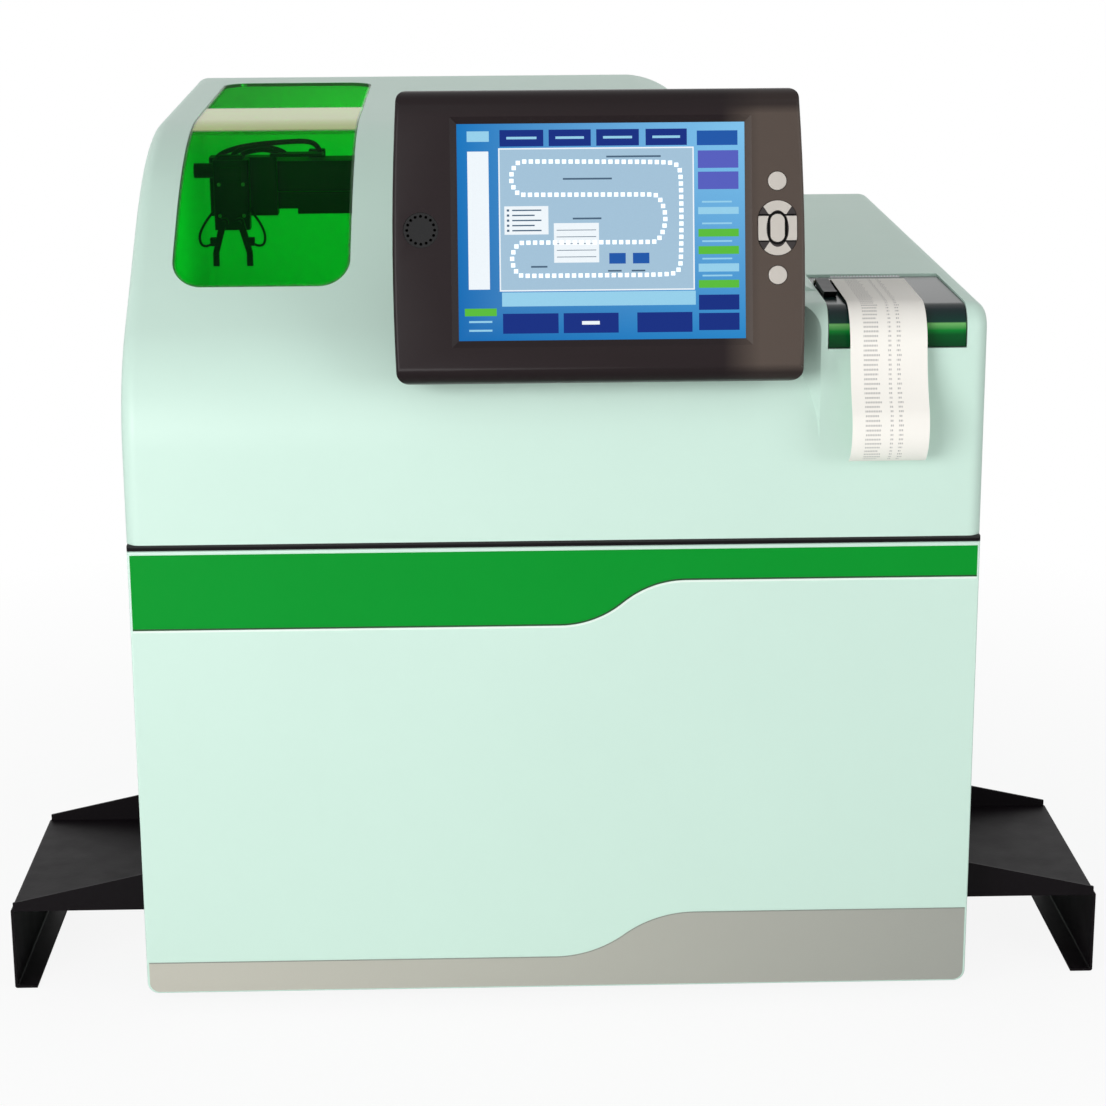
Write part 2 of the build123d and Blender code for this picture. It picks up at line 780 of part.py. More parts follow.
def shoulder_outline(inset):
    """Front outline of the high part with its shoulder down to the low part."""
    base = hood_bottom - (hood_wall + inset if inset else 0)
    turn = radians(shoulder_turn)
    top = hood_top_rear
    arc_x = shoulder_start + shoulder_radius * sin(turn)
    arc_z = top - shoulder_radius * (1 - cos(turn))
    foot_rise = shoulder_foot_round * (1 - cos(turn))
    foot_run = shoulder_foot_round * sin(turn)
    line_end_z = hood_low_top + foot_rise
    line_end_x = arc_x + (arc_z - line_end_z) / tan(turn)
    half = turn / 2
    mid_x = shoulder_start + shoulder_radius * sin(half)
    mid_z = top - shoulder_radius * (1 - cos(half))
    foot_x = line_end_x + foot_run
    foot_mid_x = foot_x - shoulder_foot_round * sin(half)
    foot_mid_z = hood_low_top + shoulder_foot_round * (1 - cos(half))
    Polyline((-hood_half, base), (-hood_half, top), (shoulder_start, top))
    ThreePointArc((shoulder_start, top), (mid_x, mid_z), (arc_x, arc_z))
    Line((arc_x, arc_z), (line_end_x, line_end_z))
    ThreePointArc((line_end_x, line_end_z), (foot_mid_x, foot_mid_z), (foot_x, hood_low_top))
    Polyline((foot_x, hood_low_top), (foot_x, base), (-hood_half, base))


def hood_form(inset):
    """Closed outer form of the hood, drawn in by inset; one with an inset runs past the open bottom."""
    with BuildPart() as high:
        with BuildSketch(side_plane(-hood_half - 1)) as high_side:
            with BuildLine():
                high_profile(inset)
            make_face()
            fillet(high_side.vertices().sort_by(Axis.X)[-2:].sort_by(Axis.Y)[-1], hood_rear_round)
            if inset:
                offset(amount=-inset, kind=Kind.INTERSECTION)
        extrude(amount=2 * hood_half)
        with BuildSketch(front_plane(rear_y + 1)):
            with BuildLine():
                shoulder_outline(inset)
            make_face()
            if inset:
                offset(amount=-inset, kind=Kind.INTERSECTION)
        extrude(amount=body_depth + 2, mode=Mode.INTERSECT)
        left_edges = high.faces().sort_by(Axis.X)[0].edges().sort_by(Axis.Z)[1:]
        fillet(left_edges, hood_side_round - inset)
    with BuildPart() as low:
        with BuildSketch(side_plane(step_inner - 1)) as low_side:
            with BuildLine():
                low_profile(inset)
            make_face()
            fillet(low_side.vertices().sort_by(Axis.X)[-2:].sort_by(Axis.Y)[-1], hood_rear_round)
            fillet(low_side.vertices().sort_by(Axis.X)[:2].sort_by(Axis.Y)[-1], hood_low_front_round)
            if inset:
                offset(amount=-inset, kind=Kind.INTERSECTION)
        extrude(amount=hood_half - step_inner + 2)
        with BuildSketch(level(hood_bottom - 2 * hood_wall - inset)):
            with BuildLine():
                Polyline((step_outer, front_y), (hood_half, front_y), (hood_half, rear_y),
                         (step_inner, rear_y), (step_inner, front_y + step_depth), close=True)
            make_face()
            if inset:
                offset(amount=-inset, kind=Kind.INTERSECTION)
        extrude(amount=hood_low_top, mode=Mode.INTERSECT)
        right_edges = low.faces().sort_by(Axis.X)[-1].edges().sort_by(Axis.Z)[1:]
        fillet(right_edges, hood_side_round - inset)
    with BuildPart() as form:
        add(high.part)
        add(low.part)
    return form


def window_outline(shrink):
    """Plan outline of the window, drawn in by shrink."""
    with Locations(((window_left + window_right) / 2, front_y + (window_front + window_rear) / 2)):
        RectangleRounded(window_right - window_left - 2 * shrink, window_rear - window_front - 2 * shrink,
                         window_corner - shrink)


hood_outer = hood_form(0)
hood_inner = hood_form(hood_wall)
with BuildPart() as hood_shell:
    add(hood_outer.part)
    add(hood_inner.part, mode=Mode.SUBTRACT)
    with BuildSketch(level(hood_bottom + 100)):
        window_outline(0)
    extrude(amount=hood_low_top, mode=Mode.SUBTRACT)
    with BuildSketch(level(printer_sill)):
        with Locations(((printer_left + printer_right) / 2, front_y + (printer_depth - 1) / 2)):
            Rectangle(printer_right - printer_left, printer_depth + 1)
    extrude(amount=100, mode=Mode.SUBTRACT)

window_skin = hood_form(seat_gap)
window_back = hood_form(seat_gap + window_sheet)
with BuildPart() as hood_window:
    with BuildSketch(level(hood_bottom + 100)):
        window_outline(seat_gap)
    extrude(amount=hood_low_top)
    add(window_skin.part, mode=Mode.INTERSECT)
    add(window_back.part, mode=Mode.SUBTRACT)


# Hood hinges
def hinge_section(direction):
    """Knuckle with its strip of leaf. direction is 1 for the leaf up on the hood, else -1."""
    leaf_face = rear_y + hinge_leaf
    near = hinge_axis_z + direction * 3.0
    far = hinge_axis_z + direction * hinge_leaf_height
    with Locations((hinge_axis_y, hinge_axis_z)):
        Circle(hinge_knuckle_radius)
    corners = [(rear_y, near), (rear_y, far), (leaf_face, far), (leaf_face + 1.5, near)]
    Polygon(*corners[::-direction], align=None)


middle_width = hinge_length * hinge_middle_share
end_width = (hinge_length - middle_width) / 2 - seat_gap
with BuildPart() as hinge_lower_leaves:
    for x in (-hinge_x, hinge_x):
        for start in (x - hinge_length / 2, x + hinge_length / 2 - end_width):
            with BuildSketch(side_plane(start)):
                hinge_section(-1)
            extrude(amount=end_width)
        with BuildSketch(side_plane(x - hinge_length / 2)):
            with Locations((rear_y + hinge_leaf / 2, hinge_axis_z - hinge_leaf_height + 7)):
                Rectangle(hinge_leaf, 14)
        extrude(amount=hinge_length)
        with BuildSketch(side_plane(x - hinge_length / 2 - 1.5)):
            with Locations((hinge_axis_y, hinge_axis_z)):
                Circle(hinge_pin_radius)
        extrude(amount=hinge_length + 3)

with BuildPart() as hinge_upper_leaves:
    for x in (-hinge_x, hinge_x):
        with BuildSketch(side_plane(x - middle_width / 2)):
            hinge_section(1)
        extrude(amount=middle_width)
        with BuildSketch(side_plane(x - hinge_length / 2)):
            with Locations((rear_y + hinge_leaf / 2, hinge_axis_z + hinge_leaf_height - 7)):
                Rectangle(hinge_leaf, 14)
        extrude(amount=hinge_length)
        with BuildSketch(side_plane(x - middle_width / 2)):
            with Locations((hinge_axis_y, hinge_axis_z)):
                Circle(hinge_pin_radius + pin_clearance)
        extrude(amount=middle_width, mode=Mode.SUBTRACT)


# Display unit
def display_outline(margin):
    """Face outline of the display unit: slightly barrel-shaped sides."""
    half = display_height / 2 - margin
    top = display_top_width / 2 - margin
    middle = display_middle_width / 2 - margin
    bottom = display_bottom_width / 2 - margin
    Line((-top, half), (top, half))
    ThreePointArc((top, half), (middle, 0), (bottom, -half))
    Line((bottom, -half), (-bottom, -half))
    ThreePointArc((-bottom, -half), (-middle, 0), (-top, half))


def ring_outline(grow):
    """Oval outline of the whole key ring."""
    with Locations((key_x, key_up)):
        RectangleRounded(2 * (ring_half_width + grow), 2 * (ring_half_height + grow),
                         ring_half_width + grow - 0.1)


outward = Axis(display_plane(0).origin, display_plane(0).z_dir)
with BuildPart() as display_bezel:
    with BuildSketch(display_plane(-bezel_depth)) as bezel_face:
        with BuildLine():
            display_outline(0)
        make_face()
        fillet(bezel_face.vertices(), display_corner)
    extrude(amount=bezel_depth)
    fillet(display_bezel.faces().sort_by(outward)[-1].edges(), display_side_round)
    roll_side = Plane(origin=display_plane(0).origin, x_dir=-display_plane(0).z_dir, z_dir=(1, 0, 0))
    with BuildSketch(roll_side.offset(-display_middle_width)) as roll:
        with Locations((bezel_depth / 2, 0)):
            Rectangle(bezel_depth, display_height)
        fillet(roll.vertices().group_by(Axis.X)[0], display_roll)
    extrude(amount=2 * display_middle_width, mode=Mode.INTERSECT)
    with BuildSketch(display_plane(0)):
        with Locations((screen_x, screen_up)):
            Rectangle(screen_width + 2 * screen_frame, screen_height + 2 * screen_frame)
    with BuildSketch(display_plane(-screen_recess)):
        with Locations((screen_x, screen_up)):
            Rectangle(screen_width, screen_height)
    loft(mode=Mode.SUBTRACT)
    with BuildSketch(display_plane(-screen_recess - seat_gap)):
        with Locations((screen_x, screen_up)):
            Rectangle(screen_width, screen_height)
    extrude(amount=2 * screen_recess, mode=Mode.SUBTRACT)
    with BuildSketch(display_plane(-bezel_depth)):
        with BuildLine():
            display_outline(display_side_round + 1)
        make_face()
    extrude(amount=bezel_depth - screen_recess - seat_gap, mode=Mode.SUBTRACT)
    with BuildSketch(display_plane(-bezel_depth)):
        with Locations((speaker_x, speaker_up)):
            Circle(speaker_radius)
        for direction in (-1, 1):
            with Locations((key_x, key_up + direction * round_key_offset)):
                Circle(round_key_radius + running_gap)
        ring_outline(running_gap)
    extrude(amount=bezel_depth + 1, mode=Mode.SUBTRACT)

with BuildPart() as display_screen:
    with BuildSketch(display_plane(-screen_recess - seat_gap - screen_thickness)):
        with Locations((screen_x, screen_up)):
            Rectangle(screen_width + 2 * screen_frame, screen_height + 2 * screen_frame)
    extrude(amount=screen_thickness)

with BuildPart() as display_back:
    with BuildSketch(display_plane(-bezel_depth)) as back_rim:
        with BuildLine():
            display_outline(display_side_round)
        make_face()
        fillet(back_rim.vertices(), display_corner - display_side_round)
    with BuildSketch(display_plane(-bezel_depth - display_back_depth)) as back_floor:
        with Locations((0, -8)):
            RectangleRounded(display_middle_width - 56, display_height - 52, 14)
    loft()

with BuildPart() as keypad_base:
    keypad_back = -key_thickness - key_travel - keypad_sheet - 1.0
    with BuildSketch(display_plane(keypad_back)):
        with Locations((key_x, key_up)):
            Rectangle(2 * ring_half_width - 1, 2 * round_key_offset + 2 * round_key_radius + 8)
            Circle(key_stem_radius + seat_gap, mode=Mode.SUBTRACT)
    extrude(amount=keypad_sheet)
    with BuildSketch(display_plane(seat_gap - bezel_depth)):
        with Locations((key_x, key_up)):
            with GridLocations(1, 2 * round_key_offset, 1, 2):
                Circle(keypad_post_radius)
    extrude(amount=bezel_depth - seat_gap + keypad_back)

with BuildPart() as speaker_grille:
    with BuildSketch(display_plane(-screen_recess)):
        with Locations((speaker_x, speaker_up)):
            Circle(speaker_radius - seat_gap / 2)
            with PolarLocations(speaker_hole_ring, speaker_hole_count):
                Circle(speaker_hole_radius, mode=Mode.SUBTRACT)
    extrude(amount=speaker_thickness - 0.6)

key_depth = key_thickness + key_proud


def round_key(offset_up):
    """Round key above or below the ring."""
    with BuildPart() as key:
        with BuildSketch(display_plane(key_proud - key_depth)):
            with Locations((key_x, key_up + offset_up)):
                Circle(round_key_radius)
        extrude(amount=key_depth)
        fillet(key.edges().group_by(outward)[-1], 0.6)
    return key


def ring_key(way, sideways):
    """One of the ring's four keys. way is 1 for the right and the upper key, else -1."""
    far = ring_half_height + 6
    split = ring_hole_half_height - key_overlap
    with BuildPart() as key:
        with BuildSketch(display_plane(key_proud - key_depth)):
            ring_outline(0)
            with Locations((key_x, key_up)):
                RectangleRounded(2 * ring_hole_half_width, 2 * ring_hole_half_height,
                                 ring_hole_half_width - 0.1, mode=Mode.SUBTRACT)
            if sideways:
                with Locations((key_x + way * (side_key_start + far) / 2, key_up)):
                    Rectangle(far - side_key_start, 2 * (split - key_split), mode=Mode.INTERSECT)
            else:
                with Locations((key_x, key_up + way * (split + key_split + far) / 2)):
                    Rectangle(2 * far, far - split - key_split, mode=Mode.INTERSECT)
        extrude(amount=key_depth)
    return key


key_upper = round_key(round_key_offset)
key_lower = round_key(-round_key_offset)
key_up_arrow = ring_key(1, sideways=False)
key_down_arrow = ring_key(-1, sideways=False)
key_left_arrow = ring_key(-1, sideways=True)
key_right_arrow = ring_key(1, sideways=True)
with BuildPart() as key_centre:
    with BuildSketch(display_plane(key_proud - key_depth)):
        with Locations((key_x, key_up)):
            RectangleRounded(2 * centre_key_half_width, 2 * centre_key_half_height,
                             centre_key_half_width - 0.1)
    extrude(amount=key_depth)
    with BuildSketch(display_plane(keypad_back + keypad_sheet / 4)):
        with Locations((key_x, key_up)):
            Circle(key_stem_radius)
    extrude(amount=key_proud - keypad_back - keypad_sheet / 4 - key_depth / 2)

with BuildPart() as display_bracket:
    lean = radians(display_lean)
    back = bezel_depth + display_back_depth

    def behind(up, deep):
        """Y and Z of a point up along the display's back and deep behind its face."""
        return (display_y + up * sin(lean) + deep * cos(lean), display_z + up * cos(lean) - deep * sin(lean))

    with BuildSketch(side_plane(display_x - bracket_width / 2)) as bracket_side:
        with BuildLine():
            low_point = behind(bracket_low, back)
            high_point = behind(bracket_high, back)
            Polyline(low_point, high_point, (high_point[0] + bracket_depth, high_point[1] - 14),
                     (low_point[0] + bracket_depth, low_point[1]), close=True)
        make_face()
    extrude(amount=bracket_width)
    add(hood_form(-seat_gap).part, mode=Mode.SUBTRACT)


# Printer
bay_left = printer_left - bay_overlap
bay_right = printer_right + bay_overlap
bay_front = front_y + hood_wall
bay_rear = front_y + printer_depth + bay_overlap
bay_top = hood_low_top - hood_wall
roll_centre_y = front_y + roll_y
cover_axis_y = front_y + printer_depth - cover_hinge_back
cover_axis_z = bay_top - cover_pin_radius - running_gap
with BuildPart() as printer_bay:
    with BuildSketch(level(printer_floor)):
        with Locations(((bay_left + bay_right) / 2, (bay_front + bay_rear) / 2)):
            Rectangle(bay_right - bay_left, bay_rear - bay_front)
    extrude(amount=bay_top - printer_floor)
    with BuildSketch(level(printer_floor + bay_wall)):
        with Locations(((bay_left + bay_right) / 2, (bay_front + bay_rear) / 2)):
            Rectangle(bay_right - bay_left - 2 * bay_wall, bay_rear - bay_front - 2 * bay_wall)
    extrude(amount=bay_top, mode=Mode.SUBTRACT)
    with BuildSketch(level(printer_sill)):
        with Locations(((bay_left + bay_right) / 2, bay_front + hood_low_front_round)):
            Rectangle(bay_right - bay_left + 2, 2 * hood_low_front_round + 2)
    extrude(amount=bay_top, mode=Mode.SUBTRACT)
    for wall_x, toward, end in ((bay_left + bay_wall, 1, paper_x - paper_width / 2 + 8),
                                (bay_right - bay_wall, -1, paper_x + paper_width / 2 - 8)):
        with BuildSketch(side_plane(wall_x)):
            with Locations((roll_centre_y, roll_z)):
                Circle(roll_core_radius - pin_clearance)
        extrude(amount=end - wall_x)
    with BuildSketch(side_plane(bay_left + bay_wall / 2)):
        with Locations((cover_axis_y, cover_axis_z)):
            Circle(cover_pin_radius)
    extrude(amount=bay_right - bay_left - bay_wall)

with BuildPart() as paper_roll:
    with BuildSketch(side_plane(paper_x - paper_width / 2)):
        with Locations((roll_centre_y, roll_z)):
            Circle(roll_radius)
            Circle(roll_core_radius, mode=Mode.SUBTRACT)
    extrude(amount=paper_width)

cover_left = printer_left + cover_gap
cover_right = printer_right - cover_gap
cover_top = hood_low_top - cover_drop
cover_face = front_y + cover_drop
lever_y = front_y + lever_back
lever_start = lever_x - lever_width / 2
lever_pin_z = cover_top + lever_rise
cover_bottom = printer_sill + cover_gap


def cover_section(drop):
    """Side outline of the cover's outer surface, drawn in by drop, from its lower edge to the hinge."""
    bend = hood_low_front_round - cover_drop
    face = cover_face + drop
    top = cover_top - drop
    bend = bend - drop
    knee = bend * (1 - cos(pi / 4))
    Line((face, cover_bottom), (face, top - bend))
    ThreePointArc((face, top - bend), (face + knee, top - knee), (face + bend, top))
    Line((face + bend, top), (cover_axis_y, top))


with BuildPart() as printer_cover:
    with BuildSketch(side_plane(cover_left)):
        with BuildLine():
            cover_section(0)
            cover_section(cover_thickness)
            Line((cover_face, cover_bottom), (cover_face + cover_thickness, cover_bottom))
            Line((cover_axis_y, cover_top), (cover_axis_y, cover_top - cover_thickness))
        make_face()
    extrude(amount=cover_right - cover_left)
    for ear in (cover_left, cover_right - cover_ear):
        with BuildSketch(side_plane(ear)):
            with Locations((cover_axis_y, cover_axis_z)):
                Circle(cover_hinge_radius)
        extrude(amount=cover_ear)
    for ear in (cover_left, cover_right - bay_wall - 2):
        with BuildSketch(side_plane(ear + 1)):
            with BuildLine():
                ear_y = front_y + platen_y
                ear_z = cover_top - platen_drop
                Polyline((ear_y - 9, cover_top - 1), (ear_y - 4, ear_z - 5), (ear_y + 4, ear_z - 5),
                         (ear_y + 9, cover_top - 1), close=True)
            make_face()
        extrude(amount=bay_wall + 1)
    with BuildSketch(level(cover_top - cover_thickness - 1)):
        with Locations((paper_x, front_y + paper_slot_y)):
            Rectangle(paper_width + 2, paper_slot)
    extrude(amount=cover_thickness + 2, mode=Mode.SUBTRACT)
    with BuildSketch(side_plane(cover_left - 1)):
        with Locations((cover_axis_y, cover_axis_z)):
            Circle(cover_pin_radius + pin_clearance)
        with Locations((front_y + platen_y, cover_top - platen_drop)):
            Circle(platen_pin_radius + pin_clearance)
    extrude(amount=cover_right - cover_left + 2, mode=Mode.SUBTRACT)
    for start in (lever_start - running_gap - lever_ear, lever_start + lever_width + running_gap):
        with BuildSketch(side_plane(start)):
            with Locations((lever_y, cover_top + lever_rise / 2)):
                Rectangle(6, lever_rise + 3)
        extrude(amount=lever_ear)
    with BuildSketch(side_plane(lever_start - running_gap - lever_ear)):
        with Locations((lever_y, lever_pin_z)):
            Circle(lever_pin_radius)
    extrude(amount=lever_width + 2 * (running_gap + lever_ear))

with BuildPart() as platen_roller:
    with BuildSketch(side_plane(paper_x - paper_width / 2)):
        with Locations((front_y + platen_y, cover_top - platen_drop)):
            Circle(platen_radius)
    extrude(amount=paper_width)
    with BuildSketch(side_plane(cover_left + 0.5)):
        with Locations((front_y + platen_y, cover_top - platen_drop)):
            Circle(platen_pin_radius)
    extrude(amount=cover_right - cover_left - 1)

with BuildPart() as paper_strip:
    with BuildSketch(side_plane(paper_x - paper_width / 2)):
        with BuildLine():
            exit_point = (front_y + paper_slot_y + 1, cover_top - cover_thickness / 2)
            lift_point = (front_y + paper_slot_y + 1 - paper_run, cover_top + 4.0)
            edge_point = (front_y + 20.0, cover_top + 2.5)
            over_point, bulge_point, end_point = ((front_y - before, hood_low_top - below) for before, below
                                                  in (strip_over, strip_bulge, strip_end))
            Line(exit_point, lift_point)
            Line(lift_point, edge_point)
            over = TangentArc(edge_point, over_point, tangent=(-1, -0.02))
            out = TangentArc(over_point, bulge_point, tangent=over % 1)
            TangentArc(bulge_point, end_point, tangent=out % 1)
        trace(line_width=paper_thickness)
    extrude(amount=paper_width)

with BuildPart() as cover_lever:
    with BuildSketch(side_plane(lever_start)):
        with BuildLine():
            low = lever_pin_z - lever_eye_radius
            high = lever_pin_z + lever_eye_radius
            Polyline((lever_y, low), (lever_y - lever_length, low), (lever_y - lever_length - 4, high - 1),
                     (lever_y - lever_length + 8, high - 1.5), (lever_y, high), close=True)
        make_face()
        with Locations((lever_y, lever_pin_z)):
            Circle(lever_eye_radius)
            Circle(lever_pin_radius + pin_clearance, mode=Mode.SUBTRACT)
    extrude(amount=lever_width)


# Gantry
beam_y = front_y + beam_front
beam_back = beam_y + beam_depth
with BuildPart() as gantry_columns:
    for x in column_xs:
        with BuildSketch(level(cabinet_top)):
            with Locations((x, beam_back + running_gap + column_depth / 2)):
                Rectangle(column_width, column_depth)
                with Locations((0, -column_depth / 2)):
                    Rectangle(8, 12, mode=Mode.SUBTRACT)
                with Locations((0, column_depth / 2)):
                    Rectangle(8, 12, mode=Mode.SUBTRACT)
        extrude(amount=column_top - cabinet_top)
        with BuildSketch(level(cabinet_top)):
            with Locations((x, beam_back + running_gap + column_depth / 2)):
                Rectangle(column_width + 30, column_depth)
        extrude(amount=6)

with BuildPart() as gantry_beam:
    with BuildSketch(side_plane(beam_left)):
        with Locations(((beam_y + beam_back) / 2, (beam_bottom + beam_top) / 2)):
            Rectangle(beam_depth, beam_top - beam_bottom)
            with Locations((-beam_depth / 2, 0)):
                Rectangle(12, 12, mode=Mode.SUBTRACT)
            Rectangle(beam_depth - 2 * beam_wall - 10, beam_top - beam_bottom - 2 * beam_wall,
                      mode=Mode.SUBTRACT)
    extrude(amount=beam_right - beam_left)
    for x in column_xs:
        with BuildSketch(level((beam_bottom + beam_top - slider_height) / 2)):
            with Locations((x, beam_back + 3)):
                Rectangle(8 - 2 * running_gap, 6)
        extrude(amount=slider_height)

with BuildPart() as gantry_motor:
    with BuildSketch(side_plane(beam_right)) as motor_face:
        with Locations(((beam_y + beam_back) / 2, (beam_bottom + beam_top) / 2)):
            RectangleRounded(motor_size, motor_size, 4)
    extrude(amount=motor_size * 0.8)

carriage_back = beam_y - running_gap
with BuildPart() as gripper_carriage:
    with BuildSketch(side_plane(carriage_left)):
        with BuildLine():
            hook_top = beam_top + running_gap
            hook_low = beam_bottom - running_gap
            face = carriage_back - carriage_plate
            hook_end = beam_y + 10
            Polyline((face, hook_low - 4), (face, hook_top + 4), (hook_end, hook_top + 4),
                     (hook_end, hook_top), (carriage_back, hook_top), (carriage_back, hook_low),
                     (hook_end, hook_low), (hook_end, hook_low - 4), close=True)
        make_face()
    extrude(amount=carriage_right - carriage_left)

gripper_x = (gripper_left + gripper_right) / 2
gripper_y = front_y + gripper_front
with BuildPart() as gripper_head:
    head_back = carriage_back - carriage_plate
    with BuildSketch(level(gripper_bottom)):
        with Locations((gripper_x, (gripper_y + head_back) / 2)):
            RectangleRounded(gripper_right - gripper_left, head_back - gripper_y, 2.5)
    extrude(amount=gripper_top - gripper_bottom)
    for side in (-1, 1):
        with BuildSketch(front_plane(gripper_y)):
            with Locations((gripper_x + side * finger_pivot_x, finger_pivot_z)):
                Circle(finger_pin_radius)
        extrude(amount=finger_thickness + 3)
    with BuildSketch(side_plane(gripper_left + 2)):
        with Locations((gripper_y + 8, gripper_top - actuator_radius - 3)):
            Circle(actuator_radius)
    extrude(amount=-actuator_length - 2)


def finger(side):
    """Gripper finger: eye round its pin, slanted arm and pad. side is -1 for the left one."""
    pivot_x = gripper_x + side * finger_pivot_x
    tip_x = gripper_x + side * finger_tip_x
    face = gripper_y - 1.0
    with BuildPart() as arm:
        with BuildSketch(front_plane(face)):
            with BuildLine():
                Polyline((pivot_x - side * finger_eye_radius * 0.6, finger_pivot_z),
                         (pivot_x + side * finger_eye_radius, finger_pivot_z),
                         (tip_x + side * finger_width / 2, finger_tip_z + finger_pad_height),
                         (tip_x + side * finger_width / 2, finger_tip_z),
                         (tip_x - side * finger_width / 2, finger_tip_z),
                         (tip_x - side * finger_width / 2, finger_tip_z + finger_pad_height), close=True)
            make_face()
            with Locations((pivot_x, finger_pivot_z)):
                Circle(finger_eye_radius)
                Circle(finger_pin_radius + pin_clearance, mode=Mode.SUBTRACT)
        extrude(amount=finger_thickness)
    return arm


left_finger = finger(-1)
right_finger = finger(1)


# Cabinet services
fan_front = rear_y - sheet - fan_depth
with BuildPart() as fan_frame:
    with BuildSketch(front_plane(rear_y - sheet)):
        with Locations((fan_x, fan_z)):
            RectangleRounded(fan_size, fan_size, 5)
            Circle(fan_bore_radius, mode=Mode.SUBTRACT)
    extrude(amount=fan_depth)
    with BuildSketch(front_plane(fan_front + fan_strut)):
        with Locations((fan_x, fan_z)):
            Circle(fan_hub_radius)
            Rectangle(2 * fan_bore_radius + 2, 5)
            Rectangle(5, 2 * fan_bore_radius + 2)
    extrude(amount=fan_strut)
    with BuildSketch(back_plane(fan_front + fan_strut)):
        with Locations((fan_x, -fan_z)):
            Circle(fan_pin_radius)
    extrude(amount=fan_depth - fan_strut - 4)

with BuildPart() as fan_rotor:
    rotor_y = fan_front + fan_strut + 1.0
    rotor_depth = fan_depth - fan_strut - 3.0
    with BuildSketch(back_plane(rotor_y)):
        with Locations((fan_x, -fan_z)):
            Circle(fan_hub_radius)
    extrude(amount=rotor_depth)
    for number in range(fan_blade_count):
        angle = 360 / fan_blade_count * number
        blade_root = Plane(origin=(fan_x, rotor_y + rotor_depth / 2, fan_z),
                           x_dir=(0, 1, 0), z_dir=(cos(radians(angle)), 0, sin(radians(angle))))
        with BuildSketch(blade_root.offset(fan_hub_radius - 1).rotated((0, 0, 38))):
            Rectangle(rotor_depth * 1.05, 1.6)
        extrude(amount=fan_bore_radius - fan_hub_radius - 1)
    with BuildSketch(back_plane(rotor_y - fan_depth)):
        with Locations((fan_x, -fan_z)):
            Rectangle(fan_size, fan_size)
    extrude(amount=fan_depth, mode=Mode.SUBTRACT)
    with BuildSketch(back_plane(rotor_y + rotor_depth)):
        with Locations((fan_x, -fan_z)):
            Rectangle(fan_size, fan_size)
    extrude(amount=fan_depth, mode=Mode.SUBTRACT)
    with BuildSketch(back_plane(rotor_y)):
        with Locations((fan_x, -fan_z)):
            Circle(fan_pin_radius + pin_clearance)
    extrude(amount=rotor_depth - 2, mode=Mode.SUBTRACT)

with BuildPart() as fan_guard:
    with BuildSketch(back_plane(rear_y)):
        with Locations((fan_x, -fan_z)):
            for radius in guard_rings:
                Circle(radius)
                Circle(radius - guard_wire, mode=Mode.SUBTRACT)
            for turn in (45, 135):
                Rectangle(2 * guard_rings[-1] + 10, guard_wire * 1.5, rotation=turn)
    extrude(amount=guard_wire)

with BuildPart() as power_inlet:
    with BuildSketch(front_plane(rear_y)):
        with Locations((inlet_x, inlet_z)):
            Rectangle(inlet_width - 0.4, inlet_height - 0.4)
    extrude(amount=inlet_depth)
    with BuildSketch(back_plane(rear_y)):
        with Locations((inlet_x, -inlet_z)):
            RectangleRounded(inlet_width + 2 * inlet_flange, inlet_height + 2 * inlet_flange, 3)
    extrude(amount=sheet)
    with BuildSketch(back_plane(rear_y + sheet)):
        with Locations((inlet_x, -inlet_z + inlet_height / 4)):
            Rectangle(22, 16)
    extrude(amount=-16, mode=Mode.SUBTRACT)
    with BuildSketch(back_plane(rear_y + sheet - 16)):
        with Locations((inlet_x, -inlet_z + inlet_height / 4)):
            with GridLocations(7, 0, 3, 1):
                Rectangle(2, 4)
    extrude(amount=12)
    rocker_z = inlet_z + inlet_height / 4
    with BuildSketch(back_plane(rear_y + sheet)):
        with Locations((inlet_x, -rocker_z)):
            Rectangle(rocker_width + 1, rocker_height + 1)
    extrude(amount=-14, mode=Mode.SUBTRACT)
    with BuildSketch(side_plane(inlet_x - rocker_width / 2 - 1)):
        with Locations((rear_y - 4, rocker_z)):
            Circle(rocker_pin_radius)
    extrude(amount=rocker_width + 2)

with BuildPart() as power_switch:
    with BuildSketch(side_plane(inlet_x - rocker_width / 2)) as rocker_side:
        with BuildLine():
            half = rocker_height / 2 - rocker_relief
            hub = rear_y - 4
            lift = half * sin(radians(rocker_tilt))
            ThreePointArc((hub + 8 - lift, rocker_z + half), (hub + 5.5, rocker_z),
                          (hub + 8 + lift, rocker_z - half))
            Polyline((hub + 8 + lift, rocker_z - half), (hub - 2, rocker_z - 6), (hub - 2, rocker_z + 6),
                     (hub + 8 - lift, rocker_z + half))
        make_face()
        with Locations((hub, rocker_z)):
            Circle(rocker_pin_radius + pin_clearance, mode=Mode.SUBTRACT)
    extrude(amount=rocker_width)

with BuildPart() as power_supply:
    with BuildSketch(level(pan_top)):
        with Locations((supply_x, supply_y)):
            RectangleRounded(supply_size[0], supply_size[1], 3)
    extrude(amount=supply_size[2])
    with BuildSketch(level(pan_top + supply_size[2])):
        with Locations((supply_x, supply_y)):
            with GridLocations(18, 0, 7, 1):
                SlotOverall(supply_size[1] * 0.6, 6, rotation=90)
    extrude(amount=-3, mode=Mode.SUBTRACT)

